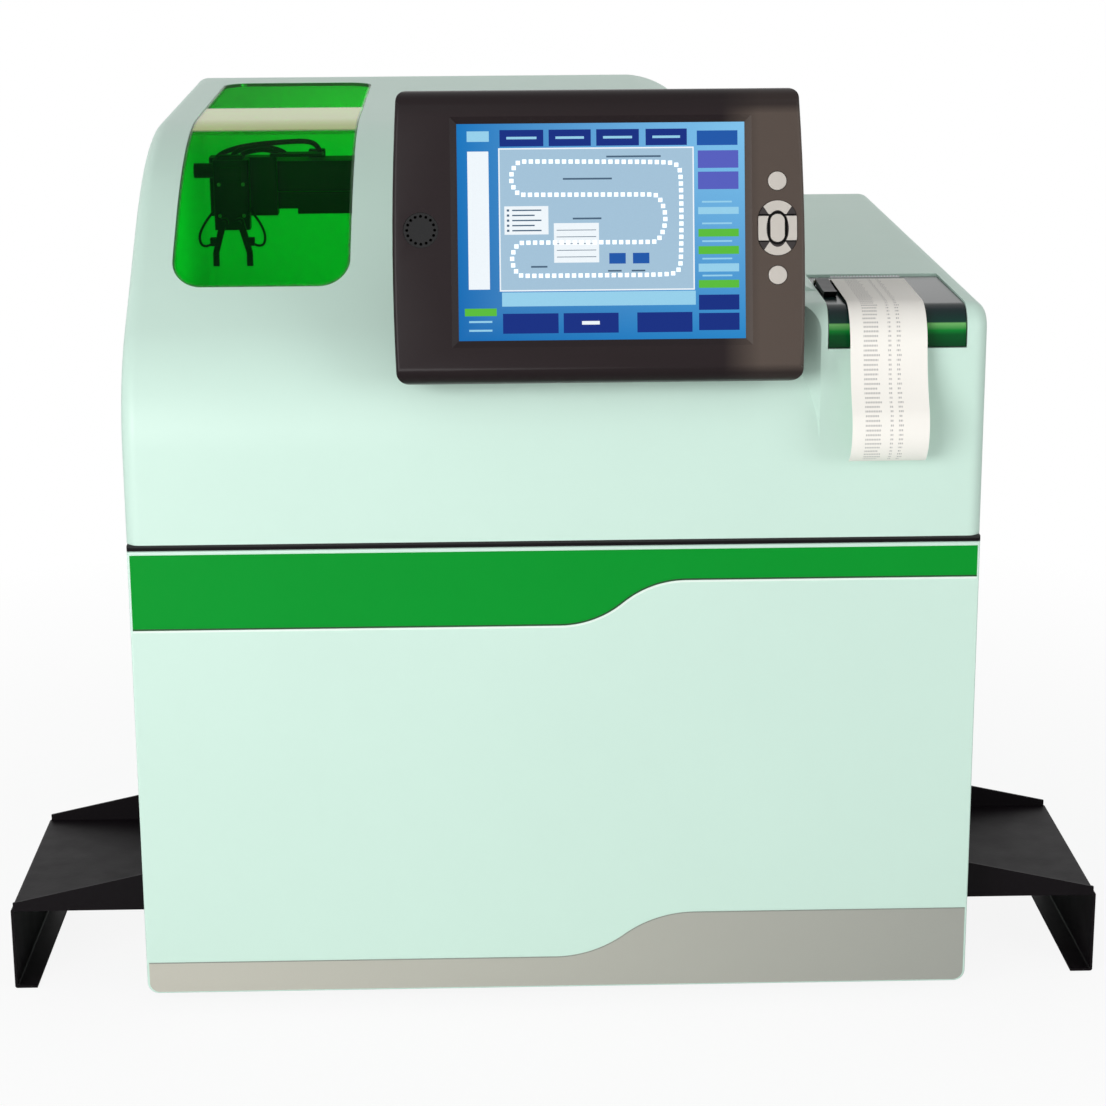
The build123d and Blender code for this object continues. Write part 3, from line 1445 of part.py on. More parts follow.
with BuildPart() as control_board:
    with BuildSketch(level(pan_top + board_standoff)):
        with Locations((board_x, board_y)):
            Rectangle(board_size[0], board_size[1])
    extrude(amount=board_size[2])
    with BuildSketch(level(pan_top)):
        with Locations((board_x, board_y)):
            with GridLocations(board_size[0] - 16, board_size[1] - 16, 2, 2):
                Circle(4)
    extrude(amount=board_standoff)
    with BuildSketch(level(pan_top + board_standoff + board_size[2])):
        with Locations((board_x - 40, board_y + 20)):
            Rectangle(40, 40)
        with Locations((board_x + 60, board_y - 50)):
            Rectangle(60, 18)
        with Locations((board_x + 50, board_y + 50)):
            with GridLocations(22, 0, 4, 1):
                Rectangle(14, 26)
    extrude(amount=6)


pieces = {
    "base_pan": base_pan,
    "left_side_panel": left_side_panel,
    "right_side_panel": right_side_panel,
    "rear_panel": rear_panel,
    "deck_frame": deck_frame,
    "hood_seal": hood_seal,
    "levelling_feet": levelling_feet,
    "left_rack_tray": left_rack_tray,
    "right_rack_tray": right_rack_tray,
    "tray_screws": tray_screws,
    "rack_lane": rack_lane,
    "outer_rails": outer_rails,
    "middle_rails": middle_rails,
    "inner_rails": inner_rails,
    "drawer_front": drawer_front,
    "green_band": green_band,
    "grey_band": grey_band,
    "drawer_box": drawer_box,
    "chain_deck": chain_deck,
    "sample_chain": sample_chain,
    "sample_tubes": sample_tubes,
    "mixer_bearings": mixer_bearings,
    "mixer_rotor": mixer_rotor,
    "hood_shell": hood_shell,
    "hood_window": hood_window,
    "hinge_lower_leaves": hinge_lower_leaves,
    "hinge_upper_leaves": hinge_upper_leaves,
    "display_bracket": display_bracket,
    "display_back": display_back,
    "display_bezel": display_bezel,
    "display_screen": display_screen,
    "keypad_base": keypad_base,
    "speaker_grille": speaker_grille,
    "key_upper": key_upper,
    "key_up": key_up_arrow,
    "key_left": key_left_arrow,
    "key_right": key_right_arrow,
    "key_centre": key_centre,
    "key_down": key_down_arrow,
    "key_lower": key_lower,
    "printer_bay": printer_bay,
    "printer_cover": printer_cover,
    "paper_strip": paper_strip,
    "paper_roll": paper_roll,
    "platen_roller": platen_roller,
    "cover_lever": cover_lever,
    "gantry_columns": gantry_columns,
    "gantry_beam": gantry_beam,
    "gantry_motor": gantry_motor,
    "gripper_carriage": gripper_carriage,
    "gripper_head": gripper_head,
    "left_finger": left_finger,
    "right_finger": right_finger,
    "fan_frame": fan_frame,
    "fan_rotor": fan_rotor,
    "fan_guard": fan_guard,
    "power_inlet": power_inlet,
    "power_switch": power_switch,
    "power_supply": power_supply,
    "control_board": control_board,
}
for name, piece in pieces.items():
    piece.part.label = name
    export_step(piece.part, f"parts/{name}.step")
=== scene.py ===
"""Dresses the bench sedimentation rate analyzer: finishes, screen picture, fine parts, stage and camera."""
import json
from functools import cache
from math import atan2, cos, hypot, pi, radians, sin

import bmesh
import bpy
from mathutils import Matrix, Vector

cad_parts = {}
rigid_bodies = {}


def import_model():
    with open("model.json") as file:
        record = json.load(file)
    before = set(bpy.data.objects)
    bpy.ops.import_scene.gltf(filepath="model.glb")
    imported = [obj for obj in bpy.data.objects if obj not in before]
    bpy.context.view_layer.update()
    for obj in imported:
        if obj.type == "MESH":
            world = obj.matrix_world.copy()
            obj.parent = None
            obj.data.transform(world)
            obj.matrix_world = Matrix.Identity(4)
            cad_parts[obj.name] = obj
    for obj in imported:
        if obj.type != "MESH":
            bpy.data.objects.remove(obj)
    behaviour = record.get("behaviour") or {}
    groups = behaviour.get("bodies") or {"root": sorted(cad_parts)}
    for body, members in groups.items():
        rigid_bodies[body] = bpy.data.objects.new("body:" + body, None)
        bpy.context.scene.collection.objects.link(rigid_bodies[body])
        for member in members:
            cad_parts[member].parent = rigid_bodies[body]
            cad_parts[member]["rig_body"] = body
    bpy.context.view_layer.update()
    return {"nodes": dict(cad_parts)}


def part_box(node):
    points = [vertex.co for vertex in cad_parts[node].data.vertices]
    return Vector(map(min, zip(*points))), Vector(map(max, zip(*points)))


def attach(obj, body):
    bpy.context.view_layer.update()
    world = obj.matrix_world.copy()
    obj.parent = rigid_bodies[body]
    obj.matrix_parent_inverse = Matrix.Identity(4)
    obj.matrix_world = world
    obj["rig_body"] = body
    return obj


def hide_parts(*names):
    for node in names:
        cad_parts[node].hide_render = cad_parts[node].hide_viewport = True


bl_info = {
    "name": "Sedimentation Rate Analyzer",
    "version": (1, 0, 0),
    "blender": (4, 5, 0),
    "location": "View3D > Sidebar > Analyzer",
    "description": "Finishes and fine parts of a bench sedimentation rate analyzer",
    "category": "Object",
}

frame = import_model()

mm = 0.001
panel_low, panel_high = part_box("drawer_front")
front_y = panel_low.y
body_half = panel_high.x
rear_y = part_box("rear_panel")[1].y
paper_low, paper_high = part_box("paper_strip")
cover_low, cover_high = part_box("printer_cover")
window_low, window_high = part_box("hood_window")
head_low, head_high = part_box("gripper_head")
beam_low, beam_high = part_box("gantry_beam")
beam_face = front_y + 290 * mm
beam_top = beam_high.z - 10 * mm
drive_length = 16 * mm
head_centre = (head_low.x + drive_length + head_high.x) / 2
tubes_low, tubes_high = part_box("sample_tubes")

# The display's face leans back
display_lean = radians(12)
display_right = Vector((1, 0, 0))
display_up = Vector((0, sin(display_lean), cos(display_lean)))
display_out = Vector((0, -cos(display_lean), sin(display_lean)))
screen_thickness = 5 * mm
screen_low, screen_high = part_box("display_screen")
screen_centre = (screen_low + screen_high) / 2 + display_out * screen_thickness / 2


def tint(red, green, blue):
    """Linear colour from the 0 to 255 values that a picture shows."""
    shares = (value / 255 for value in (red, green, blue))
    return tuple(s / 12.92 if s <= 0.04045 else ((s + 0.055) / 1.055) ** 2.4 for s in shares)


def colour_property(name, description, shown):
    """Colour setting whose default is given as a picture shows it."""
    return bpy.props.FloatVectorProperty(name=name, description=description, subtype="COLOR", size=3,
                                         min=0, max=1, default=tint(*shown))


def length_property(name, description, default):
    """Length setting in metres."""
    return bpy.props.FloatProperty(name=name, description=description, unit="LENGTH", min=0,
                                   default=default)


def power_property(name, description, default):
    """Power setting of a lamp in watts."""
    return bpy.props.FloatProperty(name=name, description=description, unit="POWER", min=0,
                                   default=default)


class AnalyzerColours(bpy.types.PropertyGroup):
    """Colours of the analyzer's main finishes."""

    mint: colour_property("Mint", "Cabinet, hood and front panel", (208, 236, 223))
    green: colour_property("Green band", "Upper band of the front panel", (0, 150, 44))
    grey_left: colour_property("Grey band, left", "Left end of the lower band", (196, 193, 181))
    grey_right: colour_property("Grey band, right", "Right end of the lower band", (160, 162, 155))
    window: colour_property("Window", "Light that passes the window", (8, 226, 100))
    housing: colour_property("Display housing", "Dark plastic of the display", (33, 24, 26))
    # Painted light: the frame's end beside the keys is paler where light falls on it, painted into its
    # colour.
    key_side_painted_light: colour_property("Key side", "Paler end of the display's frame", (88, 77, 70))
    tray: colour_property("Trays", "Black sheet of the rack trays", (14, 9, 13))
    cover: colour_property("Printer cover", "Dark cover over the paper roll", (4, 34, 34))
    keys: colour_property("Keys", "Keys beside the screen", (200, 194, 186))
    paper: colour_property("Paper", "Printed strip", (250, 247, 240))


class AnalyzerSizes(bpy.types.PropertyGroup):
    """Sizes of the parts that this file adds."""

    # The dark line is a painted shadow along the green band's lower edge.
    edge_line: length_property("Edge line", "Width of the dark line under the green band", 1.3 * mm)
    hose_radius: length_property("Hose radius", "Hoses from the gripper's head to its shelf", 2.2 * mm)
    cable_radius: length_property("Cable radius", "Thin loops beside the gripper's fingers", 1.1 * mm)
    comb_pitch: length_property("Comb pitch", "Teeth of the printer's tear-off edge", 2.4 * mm)
    screw_radius: length_property("Screw radius", "Screw heads on the cabinet", 3.4 * mm)
    map_link: length_property("Map link", "Width of a link in the screen's map", 3.1 * mm)


class AnalyzerStage(bpy.types.PropertyGroup):
    """Camera and lamps."""

    lens: bpy.props.FloatProperty(name="Lens", description="Focal length on a 36 mm sensor, in millimetres",
                                  default=87.136)
    key_power: power_property("Key", "Large lamp at the front left", 52)
    fill_power: power_property("Fill", "Lamp at the front right", 17)
    top_power: power_property("Top", "Lamp overhead", 2)
    inner_power: power_property("Inner", "Small lamp inside the hood", 1.05)
    sky: bpy.props.FloatProperty(name="Sky", description="Light from all round", default=0.36)


class Value:
    """A socket in a node tree. Arithmetic on it adds Math nodes."""

    def __init__(self, nodes, socket):
        self.nodes = nodes
        self.socket = socket

    def math(self, operation, *others, swapped=False, clamp=False):
        """This value and the others through one Math node."""
        terms = [*others, self] if swapped else [self, *others]
        return self.nodes.node("ShaderNodeMath", {"operation": operation, "use_clamp": clamp}, terms)

    def __add__(self, other):
        return self.math("ADD", other)

    def __sub__(self, other):
        return self.math("SUBTRACT", other)

    def __rsub__(self, other):
        return self.math("SUBTRACT", other, swapped=True)

    def __mul__(self, other):
        return self.math("MULTIPLY", other)

    def __truediv__(self, other):
        return self.math("DIVIDE", other)

    def __abs__(self):
        return self.math("ABSOLUTE")

    def __gt__(self, other):
        return self.math("GREATER_THAN", other)

    def __lt__(self, other):
        return self.math("LESS_THAN", other)

    def __mod__(self, other):
        return self.math("FLOORED_MODULO", other)

    __radd__ = __add__
    __rmul__ = __mul__

    def clamped(self):
        """The value held between 0 and 1."""
        return self.math("ADD", 0, clamp=True)

    def larger(self, other):
        """The larger of two values."""
        return self.math("MAXIMUM", other)

    def diagonal(self, other):
        """Distance from the origin, with the two values as its legs."""
        return (self * self + other * other).math("SQRT")


class Nodes:
    """A node tree that is filled node by node."""

    def __init__(self, tree):
        self.tree = tree

    def node(self, kind, settings=None, inputs=(), output=0):
        """Adds a node: its settings, then its sockets by place or name. Returns one of its outputs."""
        node = self.tree.nodes.new(kind)
        for name, value in (settings or {}).items():
            if name == "stops":
                self.fill_ramp(node.color_ramp, value)
            else:
                setattr(node, name, value)
        for place, value in inputs.items() if isinstance(inputs, dict) else enumerate(inputs):
            self.feed(node.inputs[place], value)
        return Value(self, node.outputs[output])

    def feed(self, socket, value):
        """Links a value to a socket, or sets the socket's own number or colour."""
        if isinstance(value, Value):
            self.tree.links.new(value.socket, socket)
        elif socket.type == "RGBA":
            socket.default_value = (*value, 1)
        else:
            socket.default_value = value

    def fill_ramp(self, ramp, stops):
        """Gives a colour ramp its stops: pairs of place and linear colour."""
        while len(ramp.elements) < len(stops):
            ramp.elements.new(1)
        for element, (place, colour) in zip(ramp.elements, stops):
            element.position = place
            element.color = (*colour, 1)


class Finish(Nodes):
    """A node material. Its surface is a Principled shader unless it is blended with another."""

    def __init__(self, name, colour, roughness=0.4, metallic=0.0, **fixed):
        self.material = bpy.data.materials.new(name)
        self.material.use_nodes = True
        super().__init__(self.material.node_tree)
        self.surface = self.tree.nodes["Principled BSDF"]
        self.shader = Value(self, self.surface.outputs[0])
        self.colour = tuple(colour)
        self.set(Base_Color=self.colour, Roughness=roughness, Metallic=metallic, **fixed)

    def set(self, **sockets):
        """Feeds the Principled shader's sockets, with _ for the spaces in their names."""
        for name, value in sockets.items():
            self.feed(self.surface.inputs[name.replace("_", " ")], value)
        return self

    def blend(self, share, first, second):
        """Makes a blend of two shaders the material's surface."""
        both = self.node("ShaderNodeMixShader", inputs=[share, first, second])
        self.feed(self.tree.nodes["Material Output"].inputs["Surface"], both)
        return self

    def coordinates(self, stretch=None):
        """The object's own coordinates in metres, stretched if a stretch is given."""
        where = self.node("ShaderNodeTexCoord", output="Object")
        if stretch is None:
            return where
        return self.node("ShaderNodeVectorMath", {"operation": "MULTIPLY"}, [where, stretch])

    def place(self, axis):
        """One of the object's own coordinates, by the letter X, Y or Z."""
        return self.node("ShaderNodeSeparateXYZ", inputs=[self.coordinates()], output="XYZ".index(axis))

    def share(self, axis, low, high):
        """Share of the way from low to high along an axis, held between 0 and 1."""
        return ((self.place(axis) - low) / (high - low)).clamped()

    def noise(self, scale, detail=2.0, stretch=None):
        """Soft noise from 0 to 1."""
        return self.node("ShaderNodeTexNoise", inputs={"Vector": self.coordinates(stretch), "Scale": scale,
                                                       "Detail": detail})

    def mix(self, share, first, second):
        """Blend of two colours."""
        return self.node("ShaderNodeMix", {"data_type": "RGBA", "clamp_factor": True},
                         {0: share, 6: first, 7: second}, output=2)

    def ramp(self, share, *stops):
        """Colour by a share from 0 to 1."""
        return self.node("ShaderNodeValToRGB", {"stops": stops}, [share])

    def darker(self, share):
        """The finish's colour, less bright by a share."""
        return tuple(value * (1 - share) for value in self.colour)

    def bump(self, height, depth, strength=0.5):
        """Relief from a value, that deep in metres."""
        self.set(Normal=self.node("ShaderNodeBump", inputs={"Height": height, "Strength": strength,
                                                            "Distance": depth}))
        return self

    def textured(self, grain=900, depth=0.03 * mm, shade=0.05, gloss=0.08, drift=7):
        """Fine grain, slow drift of the colour and an uneven gloss."""
        rough = self.surface.inputs["Roughness"].default_value
        self.set(Base_Color=self.mix(self.noise(drift), self.colour, self.darker(shade)),
                 Roughness=rough - gloss / 2 + gloss * self.noise(grain / 12, 4.0))
        return self.bump(self.noise(grain), depth)


def colours():
    """The colour settings."""
    return bpy.context.scene.analyzer_colours


def sizes():
    """The size settings."""
    return bpy.context.scene.analyzer_sizes


@cache
def mint_paint():
    """Satin mint paint with orange peel."""
    return Finish("mint_paint", colours().mint, 0.42).textured(grain=1100, depth=0.05 * mm, shade=0.03)


@cache
def mint_hood():
    """Moulded mint plastic of the hood, with a weaker shine than the cabinet's paint."""
    plastic = Finish("mint_hood", colours().mint, 0.4, Specular_IOR_Level=0.35)
    return plastic.textured(grain=700, depth=0.04 * mm, shade=0.03)


@cache
def green_film():
    """Printed green film."""
    film = Finish("green_film", colours().green, 0.34, Specular_IOR_Level=0.12)
    return film.textured(grain=1600, depth=0.02 * mm, shade=0.06)


@cache
def grey_film():
    """Printed grey film that grows darker to the right."""
    film = Finish("grey_film", colours().grey_left, 0.38)
    tone = film.ramp(film.share("X", -body_half, body_half),
                     (0.0, colours().grey_left), (1.0, colours().grey_right))
    film.set(Base_Color=film.mix(film.noise(900, 4.0) * 0.25, tone, film.darker(0.2)))
    return film.bump(film.noise(1500), 0.02 * mm)


def edge_film(name, colour, roughness, shade):
    """Finish of a thin line along a printed band: a painted shadow or painted highlight at the green band's
    edge, or the grey band's edge line.
    """
    return Finish(name, colour, roughness).textured(grain=900, depth=0.02 * mm, shade=shade)


@cache
def black_sheet():
    """Powder-coated black sheet."""
    sheet = Finish("black_sheet", colours().tray, 0.5, Specular_IOR_Level=0.12)
    return sheet.textured(grain=520, depth=0.12 * mm, shade=0.3, gloss=0.16, drift=18)


@cache
def dark_metal():
    """Black anodised metal of the gripper and its gantry."""
    metal = Finish("dark_metal", tint(10, 10, 12), 0.4, Specular_IOR_Level=0.25)
    return metal.textured(grain=1400, depth=0.02 * mm, shade=0.35, gloss=0.12, drift=25)


@cache
def housing_plastic():
    """Grained dark plastic of the display's back."""
    plastic = Finish("housing_plastic", colours().housing, 0.34, Specular_IOR_Level=0.16)
    return plastic.textured(grain=1500, depth=0.05 * mm, shade=0.12, gloss=0.1, drift=9)


@cache
def bezel_plastic():
    """Plastic of the display's frame: painted light makes it paler beside the keys, painted shade makes it
    darker at its upper and lower edge, where it rounds away.
    """
    bezel = Finish("bezel_plastic", colours().housing, 0.34, Specular_IOR_Level=0.16)
    low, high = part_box("display_bezel")
    # Painted light: paler towards the end beside the keys.
    tone = bezel.ramp(bezel.share("X", low.x, high.x), (0.0, colours().housing), (0.8, colours().housing),
                      (0.89, colours().key_side_painted_light))
    # Painted shade: darker at the upper and lower edge, where the frame rounds away.
    rim_start, rim_fade = 0.84, 0.06
    from_middle = abs(bezel.place("Z") - (low.z + high.z) / 2) / (high.z - low.z) * 2
    rim = ((from_middle - rim_start) / rim_fade).clamped() * 0.8
    tone = bezel.mix(rim, tone, bezel.darker(0.25))
    bezel.set(Base_Color=bezel.mix(bezel.noise(9) * 0.2, tone, bezel.darker(0.3)))
    return bezel.bump(bezel.noise(1500), 0.05 * mm)


@cache
def black_plastic():
    """Plain black plastic of small fittings."""
    plastic = Finish("black_plastic", tint(18, 18, 19), 0.45, Specular_IOR_Level=0.25)
    return plastic.textured(grain=1200, depth=0.04 * mm, shade=0.2)


@cache
def soft_rubber():
    """Matt rubber of seal, feet and platen."""
    rubber = Finish("soft_rubber", tint(24, 24, 24), 0.8)
    return rubber.textured(grain=600, depth=0.08 * mm, shade=0.3, gloss=0.1, drift=30)


@cache
def key_plastic():
    """Pale keys with a soft sheen."""
    plastic = Finish("key_plastic", colours().keys, 0.36)
    return plastic.textured(grain=1800, depth=0.02 * mm, shade=0.05, gloss=0.06, drift=60)


@cache
def ring_plastic():
    """The four keys of the ring, pale, with painted gaps towards each other and the centre key: dark
    margins that stand for the shade over the dark plastic between keys.
    """
    ring = Finish("ring_plastic", colours().keys, 0.36)
    low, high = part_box("key_centre")
    across = abs(ring.place("X") - (low.x + high.x) / 2)
    rise = abs(ring.place("Z") - (low.z + high.z) / 2) / cos(display_lean)
    # Painted gaps between the keys: dark inside an oval round the centre key and along each diagonal,
    # painted shade over the dark plastic beneath.
    oval_half_width, oval_half_height = 8.2 * mm, 13.4 * mm
    wide, tall = across / oval_half_width, rise / oval_half_height
    oval_gap_shade = wide * wide + tall * tall < 1
    slant, slant_shift, slant_start = atan2(12.8, 8.8), 0.6 * mm, 9.2 * mm
    corner = (across * sin(slant) - rise * cos(slant) > -slant_shift) * (rise > slant_start)
    pale = ring.mix(ring.noise(60), ring.colour, ring.darker(0.06))
    ring.set(Base_Color=ring.mix((oval_gap_shade + corner).clamped(), pale, tint(30, 22, 22)))
    return ring.bump(ring.noise(1800), 0.02 * mm)


@cache
def white_plastic():
    """White plastic of the chain and the mixer."""
    plastic = Finish("white_plastic", tint(232, 233, 228), 0.4)
    return plastic.textured(grain=900, depth=0.04 * mm, shade=0.05, gloss=0.1, drift=20)


def brushed(name, colour, stretch):
    """Metal with fine lines; stretch is small along the lines."""
    metal = Finish(name, colour, 0.34, 1.0)
    lines = metal.noise(160, 5.0, stretch)
    metal.set(Base_Color=metal.mix(lines, metal.darker(0.18), metal.colour), Roughness=0.26 + 0.2 * lines)
    return metal.bump(lines, 0.03 * mm, 0.25)


@cache
def steel():
    """Steel of rails, hinges and screws, brushed from front to back."""
    return brushed("steel", tint(176, 178, 180), (12, 0.4, 12))


@cache
def aluminium():
    """Drawn aluminium of columns and bearings, its lines upright."""
    return brushed("aluminium", tint(200, 202, 205), (10, 10, 0.4))


@cache
def zinc_sheet():
    """Zinc-plated sheet inside the cabinet, with large soft spangles."""
    sheet = Finish("zinc_sheet", tint(168, 172, 174), 0.42, 0.9)
    spangle = sheet.node("ShaderNodeTexVoronoi", inputs={"Vector": sheet.coordinates(), "Scale": 70.0})
    return sheet.set(Base_Color=sheet.mix(spangle, sheet.darker(0.22), sheet.colour),
                     Roughness=0.34 + 0.16 * spangle)


@cache
def window_tint():
    """Green window: clear to look through, darker at its rim, with a painted reflection as a pale band on
    its upper bend.
    """
    glass = Finish("window_tint", tint(0, 110, 34), 0.06, Specular_IOR_Level=0.6)
    middle = (window_low + window_high) / 2
    half = (window_high - window_low) / 2
    corner_radius, dark_width = 24 * mm, 2.5 * mm
    across = (abs(glass.place("X") - middle.x) - (half.x - corner_radius)).larger(0)
    along = (abs(glass.place("Y") - middle.y) - (half.y - corner_radius)).larger(0)
    edge = (1 - (corner_radius - across.diagonal(along)) / dark_width).clamped()
    # Painted reflection: a pale band across the upper bend, set by place and stronger at grazing views; it
    # also makes that band less clear.
    sheen_low, sheen_high, sheen_fade = -48 * mm, 84 * mm, 7 * mm
    grazing = glass.node("ShaderNodeLayerWeight", output="Facing")
    sheen = (glass.share("Y", sheen_low, sheen_low + sheen_fade)
             * glass.share("Y", sheen_high, sheen_high - sheen_fade) * grazing * (1 - edge))
    tone = glass.mix(edge, glass.colour, tint(0, 52, 30))
    # The pale colour of the painted reflection.
    glass.set(Base_Color=glass.mix(sheen, tone, tint(228, 230, 92)))
    clear = glass.node("ShaderNodeBsdfTransparent", inputs=[colours().window])
    body = (0.04 + 0.6 * edge + 0.95 * sheen).clamped()
    return glass.blend(body, clear, glass.shader)


@cache
def cover_gloss():
    """Dark glossy cover, its colour by height, with a painted pale green reflection across its front and a
    painted warm reflection along its top.
    """
    gloss = Finish("cover_gloss", colours().cover, 0.2, Specular_IOR_Level=0.2)
    # Painted reflections: the pale green band near half height and the warm stop at the top stand for
    # reflected light.
    gloss.set(Base_Color=gloss.ramp(
        gloss.share("Z", cover_low.z, cover_high.z), (0.0, tint(0, 66, 30)), (0.26, tint(0, 84, 34)),
        (0.36, tint(10, 128, 46)), (0.5, tint(110, 178, 100)), (0.53, tint(0, 50, 40)),
        (0.8, tint(10, 30, 34)), (0.93, tint(20, 34, 30)), (0.97, tint(128, 120, 98))))
    return gloss.bump(gloss.noise(600), 0.02 * mm, 0.3)


@cache
def screen_glow():
    """Lit screen picture, its colours kept on the mesh."""
    glow = Finish("screen_glow", (0, 0, 0), 0.14, Emission_Strength=0.86, Specular_IOR_Level=0.15)
    picture = glow.node("ShaderNodeVertexColor", {"layer_name": "picture"})
    shown = glow.mix(glow.noise(2600, 1.0) * 0.12, picture, (0.02, 0.05, 0.08))
    return glow.set(Base_Color=glow.mix(0.82, shown, (0, 0, 0)), Emission_Color=shown)


@cache
def map_white():
    """Pale links in the screen's map."""
    glow = Finish("map_white", tint(180, 190, 200), 0.14, Emission_Strength=0.8)
    shown = glow.mix(glow.noise(2600, 1.0) * 0.2, tint(244, 250, 255), tint(150, 185, 215))
    return glow.set(Emission_Color=shown)


@cache
def printed_paper():
    """Thermal paper with grey rows in three columns, along the strip's own length."""
    paper = Finish("printed_paper", colours().paper, 0.75)
    where = paper.node("ShaderNodeUVMap", {"uv_map": "strip"})
    across, along = (paper.node("ShaderNodeSeparateXYZ", inputs=[where], output=axis) for axis in (0, 1))
    row_pitch, blank_end, cells_across = 3.6 * mm, 5 * mm, 46.0
    row = (along / row_pitch) % 1.0
    line = (row > 0.3) * (row < 0.72)
    jitter = paper.node("ShaderNodeTexWhiteNoise", {"noise_dimensions": "1D"},
                        {"W": along / row_pitch - row})
    marks = ((across * cells_across + jitter * 9.0) % 1.0 < 0.62) * line
    left_column = (across > 0.17) * (across < 0.34 + jitter * 0.05)
    middle_column = (across > 0.49) * (across < 0.53)
    right_column = (across > 0.6) * (across < 0.64 + jitter * 0.03)
    columns = (along > blank_end) * (left_column + middle_column + right_column)
    ink = (marks * columns).clamped() * 0.62
    sheet = paper.mix(paper.noise(500, 3.0) * 0.06, paper.colour, paper.darker(0.3))
    paper.set(Base_Color=paper.mix(ink, sheet, tint(96, 92, 98)))
    return paper.bump(paper.noise(900), 0.03 * mm, 0.3)


@cache
def rolled_paper():
    """Paper roll: fine rings on its ends."""
    roll = Finish("rolled_paper", colours().paper, 0.8)
    low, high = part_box("paper_roll")
    middle = (low + high) / 2
    ring_pitch = 0.9 * mm
    from_axis = (roll.place("Y") - middle.y).diagonal(roll.place("Z") - middle.z)
    ring = (from_axis / ring_pitch) % 1.0
    roll.set(Base_Color=roll.mix(ring * 0.3, roll.colour, roll.darker(0.25)))
    return roll.bump(ring, 0.05 * mm, 0.3)


@cache
def filled_tubes():
    """Sample tubes: dark blood below, straw plasma over it, clear glass, and a coloured cap."""
    glass = Finish("filled_tubes", tint(190, 205, 210), 0.12, Coat_Weight=0.3)
    tone = glass.ramp(
        glass.share("Z", tubes_low.z, tubes_high.z), (0.0, tint(70, 6, 10)), (0.4, tint(96, 10, 14)),
        (0.44, tint(208, 176, 88)), (0.62, tint(214, 190, 120)), (0.66, tint(196, 210, 214)),
        (0.815, tint(206, 218, 222)), (0.825, tint(38, 34, 92)))
    glass.set(Base_Color=glass.mix(glass.noise(300) * 0.2, tone, tint(30, 10, 20)))
    return glass.bump(glass.noise(900), 0.01 * mm, 0.2)


@cache
def circuit_board():
    """Green board with pale tracks, dark chips on it and pale posts under it."""
    board = Finish("circuit_board", tint(14, 88, 44), 0.35)
    low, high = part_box("control_board")
    post_height, chip_height = 12 * mm, 5.9 * mm
    tracks = board.node("ShaderNodeTexBrick", inputs={
        "Vector": board.coordinates(), "Color1": tint(10, 84, 40), "Color2": tint(18, 100, 52),
        "Mortar": tint(150, 160, 90), "Scale": 60.0, "Mortar Size": 0.03})
    chip = board.place("Z") > high.z - chip_height
    post = board.place("Z") < low.z + post_height
    fitted = board.mix(chip, tracks, tint(28, 28, 30))
    board.set(Base_Color=board.mix(post, fitted, tint(190, 180, 140)))
    return board.bump(board.noise(500), 0.05 * mm, 0.3)


def show(piece, body, finish, slot, *nodes):
    """Puts a piece on its body, with its finish, and in the place of CAD nodes if any are named."""
    piece.data.materials.clear()
    piece.data.materials.append(finish.material)
    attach(piece, body)
    if nodes:
        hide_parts(*nodes)
    return piece


def new_piece(name, mesh):
    """Object for a mesh, in the scene."""
    piece = bpy.data.objects.new(name, mesh)
    bpy.context.scene.collection.objects.link(piece)
    return piece


def plain_copy(piece, name):
    """Plain mesh object of what a curve or a modifier makes. The piece itself is removed."""
    bpy.context.view_layer.update()
    mesh = bpy.data.meshes.new_from_object(piece.evaluated_get(bpy.context.evaluated_depsgraph_get()))
    bpy.data.objects.remove(piece)
    mesh.name = name
    return new_piece(name, mesh)


def smooth(mesh, angle):
    """Smooth shading, with edges sharper than the angle kept."""
    mesh.shade_smooth()
    mesh.set_sharp_from_angle(angle=radians(angle))


def paint(finish, *nodes):
    """Gives CAD nodes their finish where their flat faces are right as they are."""
    for node in nodes:
        data = frame["nodes"][node]
        if not data.material_slots:
            raise RuntimeError(f"{node} has no material slot")
        for slot in data.material_slots:
            slot.material = finish.material


def skin(node, finish, slot, angle=35):
    """Welded copy of a CAD node with smooth curves, which stands for it."""
    source = frame["nodes"][node]
    mesh = source.data.copy()
    bm = bmesh.new()
    bm.from_mesh(mesh)
    bmesh.ops.remove_doubles(bm, verts=bm.verts, dist=0.002 * mm)
    bm.to_mesh(mesh)
    bm.free()
    if "custom_normal" in mesh.attributes:
        mesh.attributes.remove(mesh.attributes["custom_normal"])
    smooth(mesh, angle)
    return show(new_piece(f"{node}_skin", mesh), source["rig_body"], finish, slot, node)


def from_bmesh(name, bm):
    """Object from a bmesh, with its faces outwards."""
    bmesh.ops.recalc_face_normals(bm, faces=bm.faces)
    mesh = bpy.data.meshes.new(name)
    bm.to_mesh(mesh)
    bm.free()
    return new_piece(name, mesh)


def black_blocks(name, body, *blocks):
    """Black plastic boxes as one piece. Each is its centre, its size and how far its edges are cut back."""
    bm = bmesh.new()
    for centre, size, bevel in blocks:
        where = Matrix.Translation(centre) @ Matrix.Diagonal((*size, 1))
        corners = bmesh.ops.create_cube(bm, size=1, matrix=where)["verts"]
        edges = dict.fromkeys(edge for corner in corners for edge in corner.link_edges)
        bmesh.ops.bevel(bm, geom=list(edges), offset=bevel, segments=2, affect="EDGES", profile=0.5)
    show(from_bmesh(name, bm), body, black_plastic(), "dark_plastic")


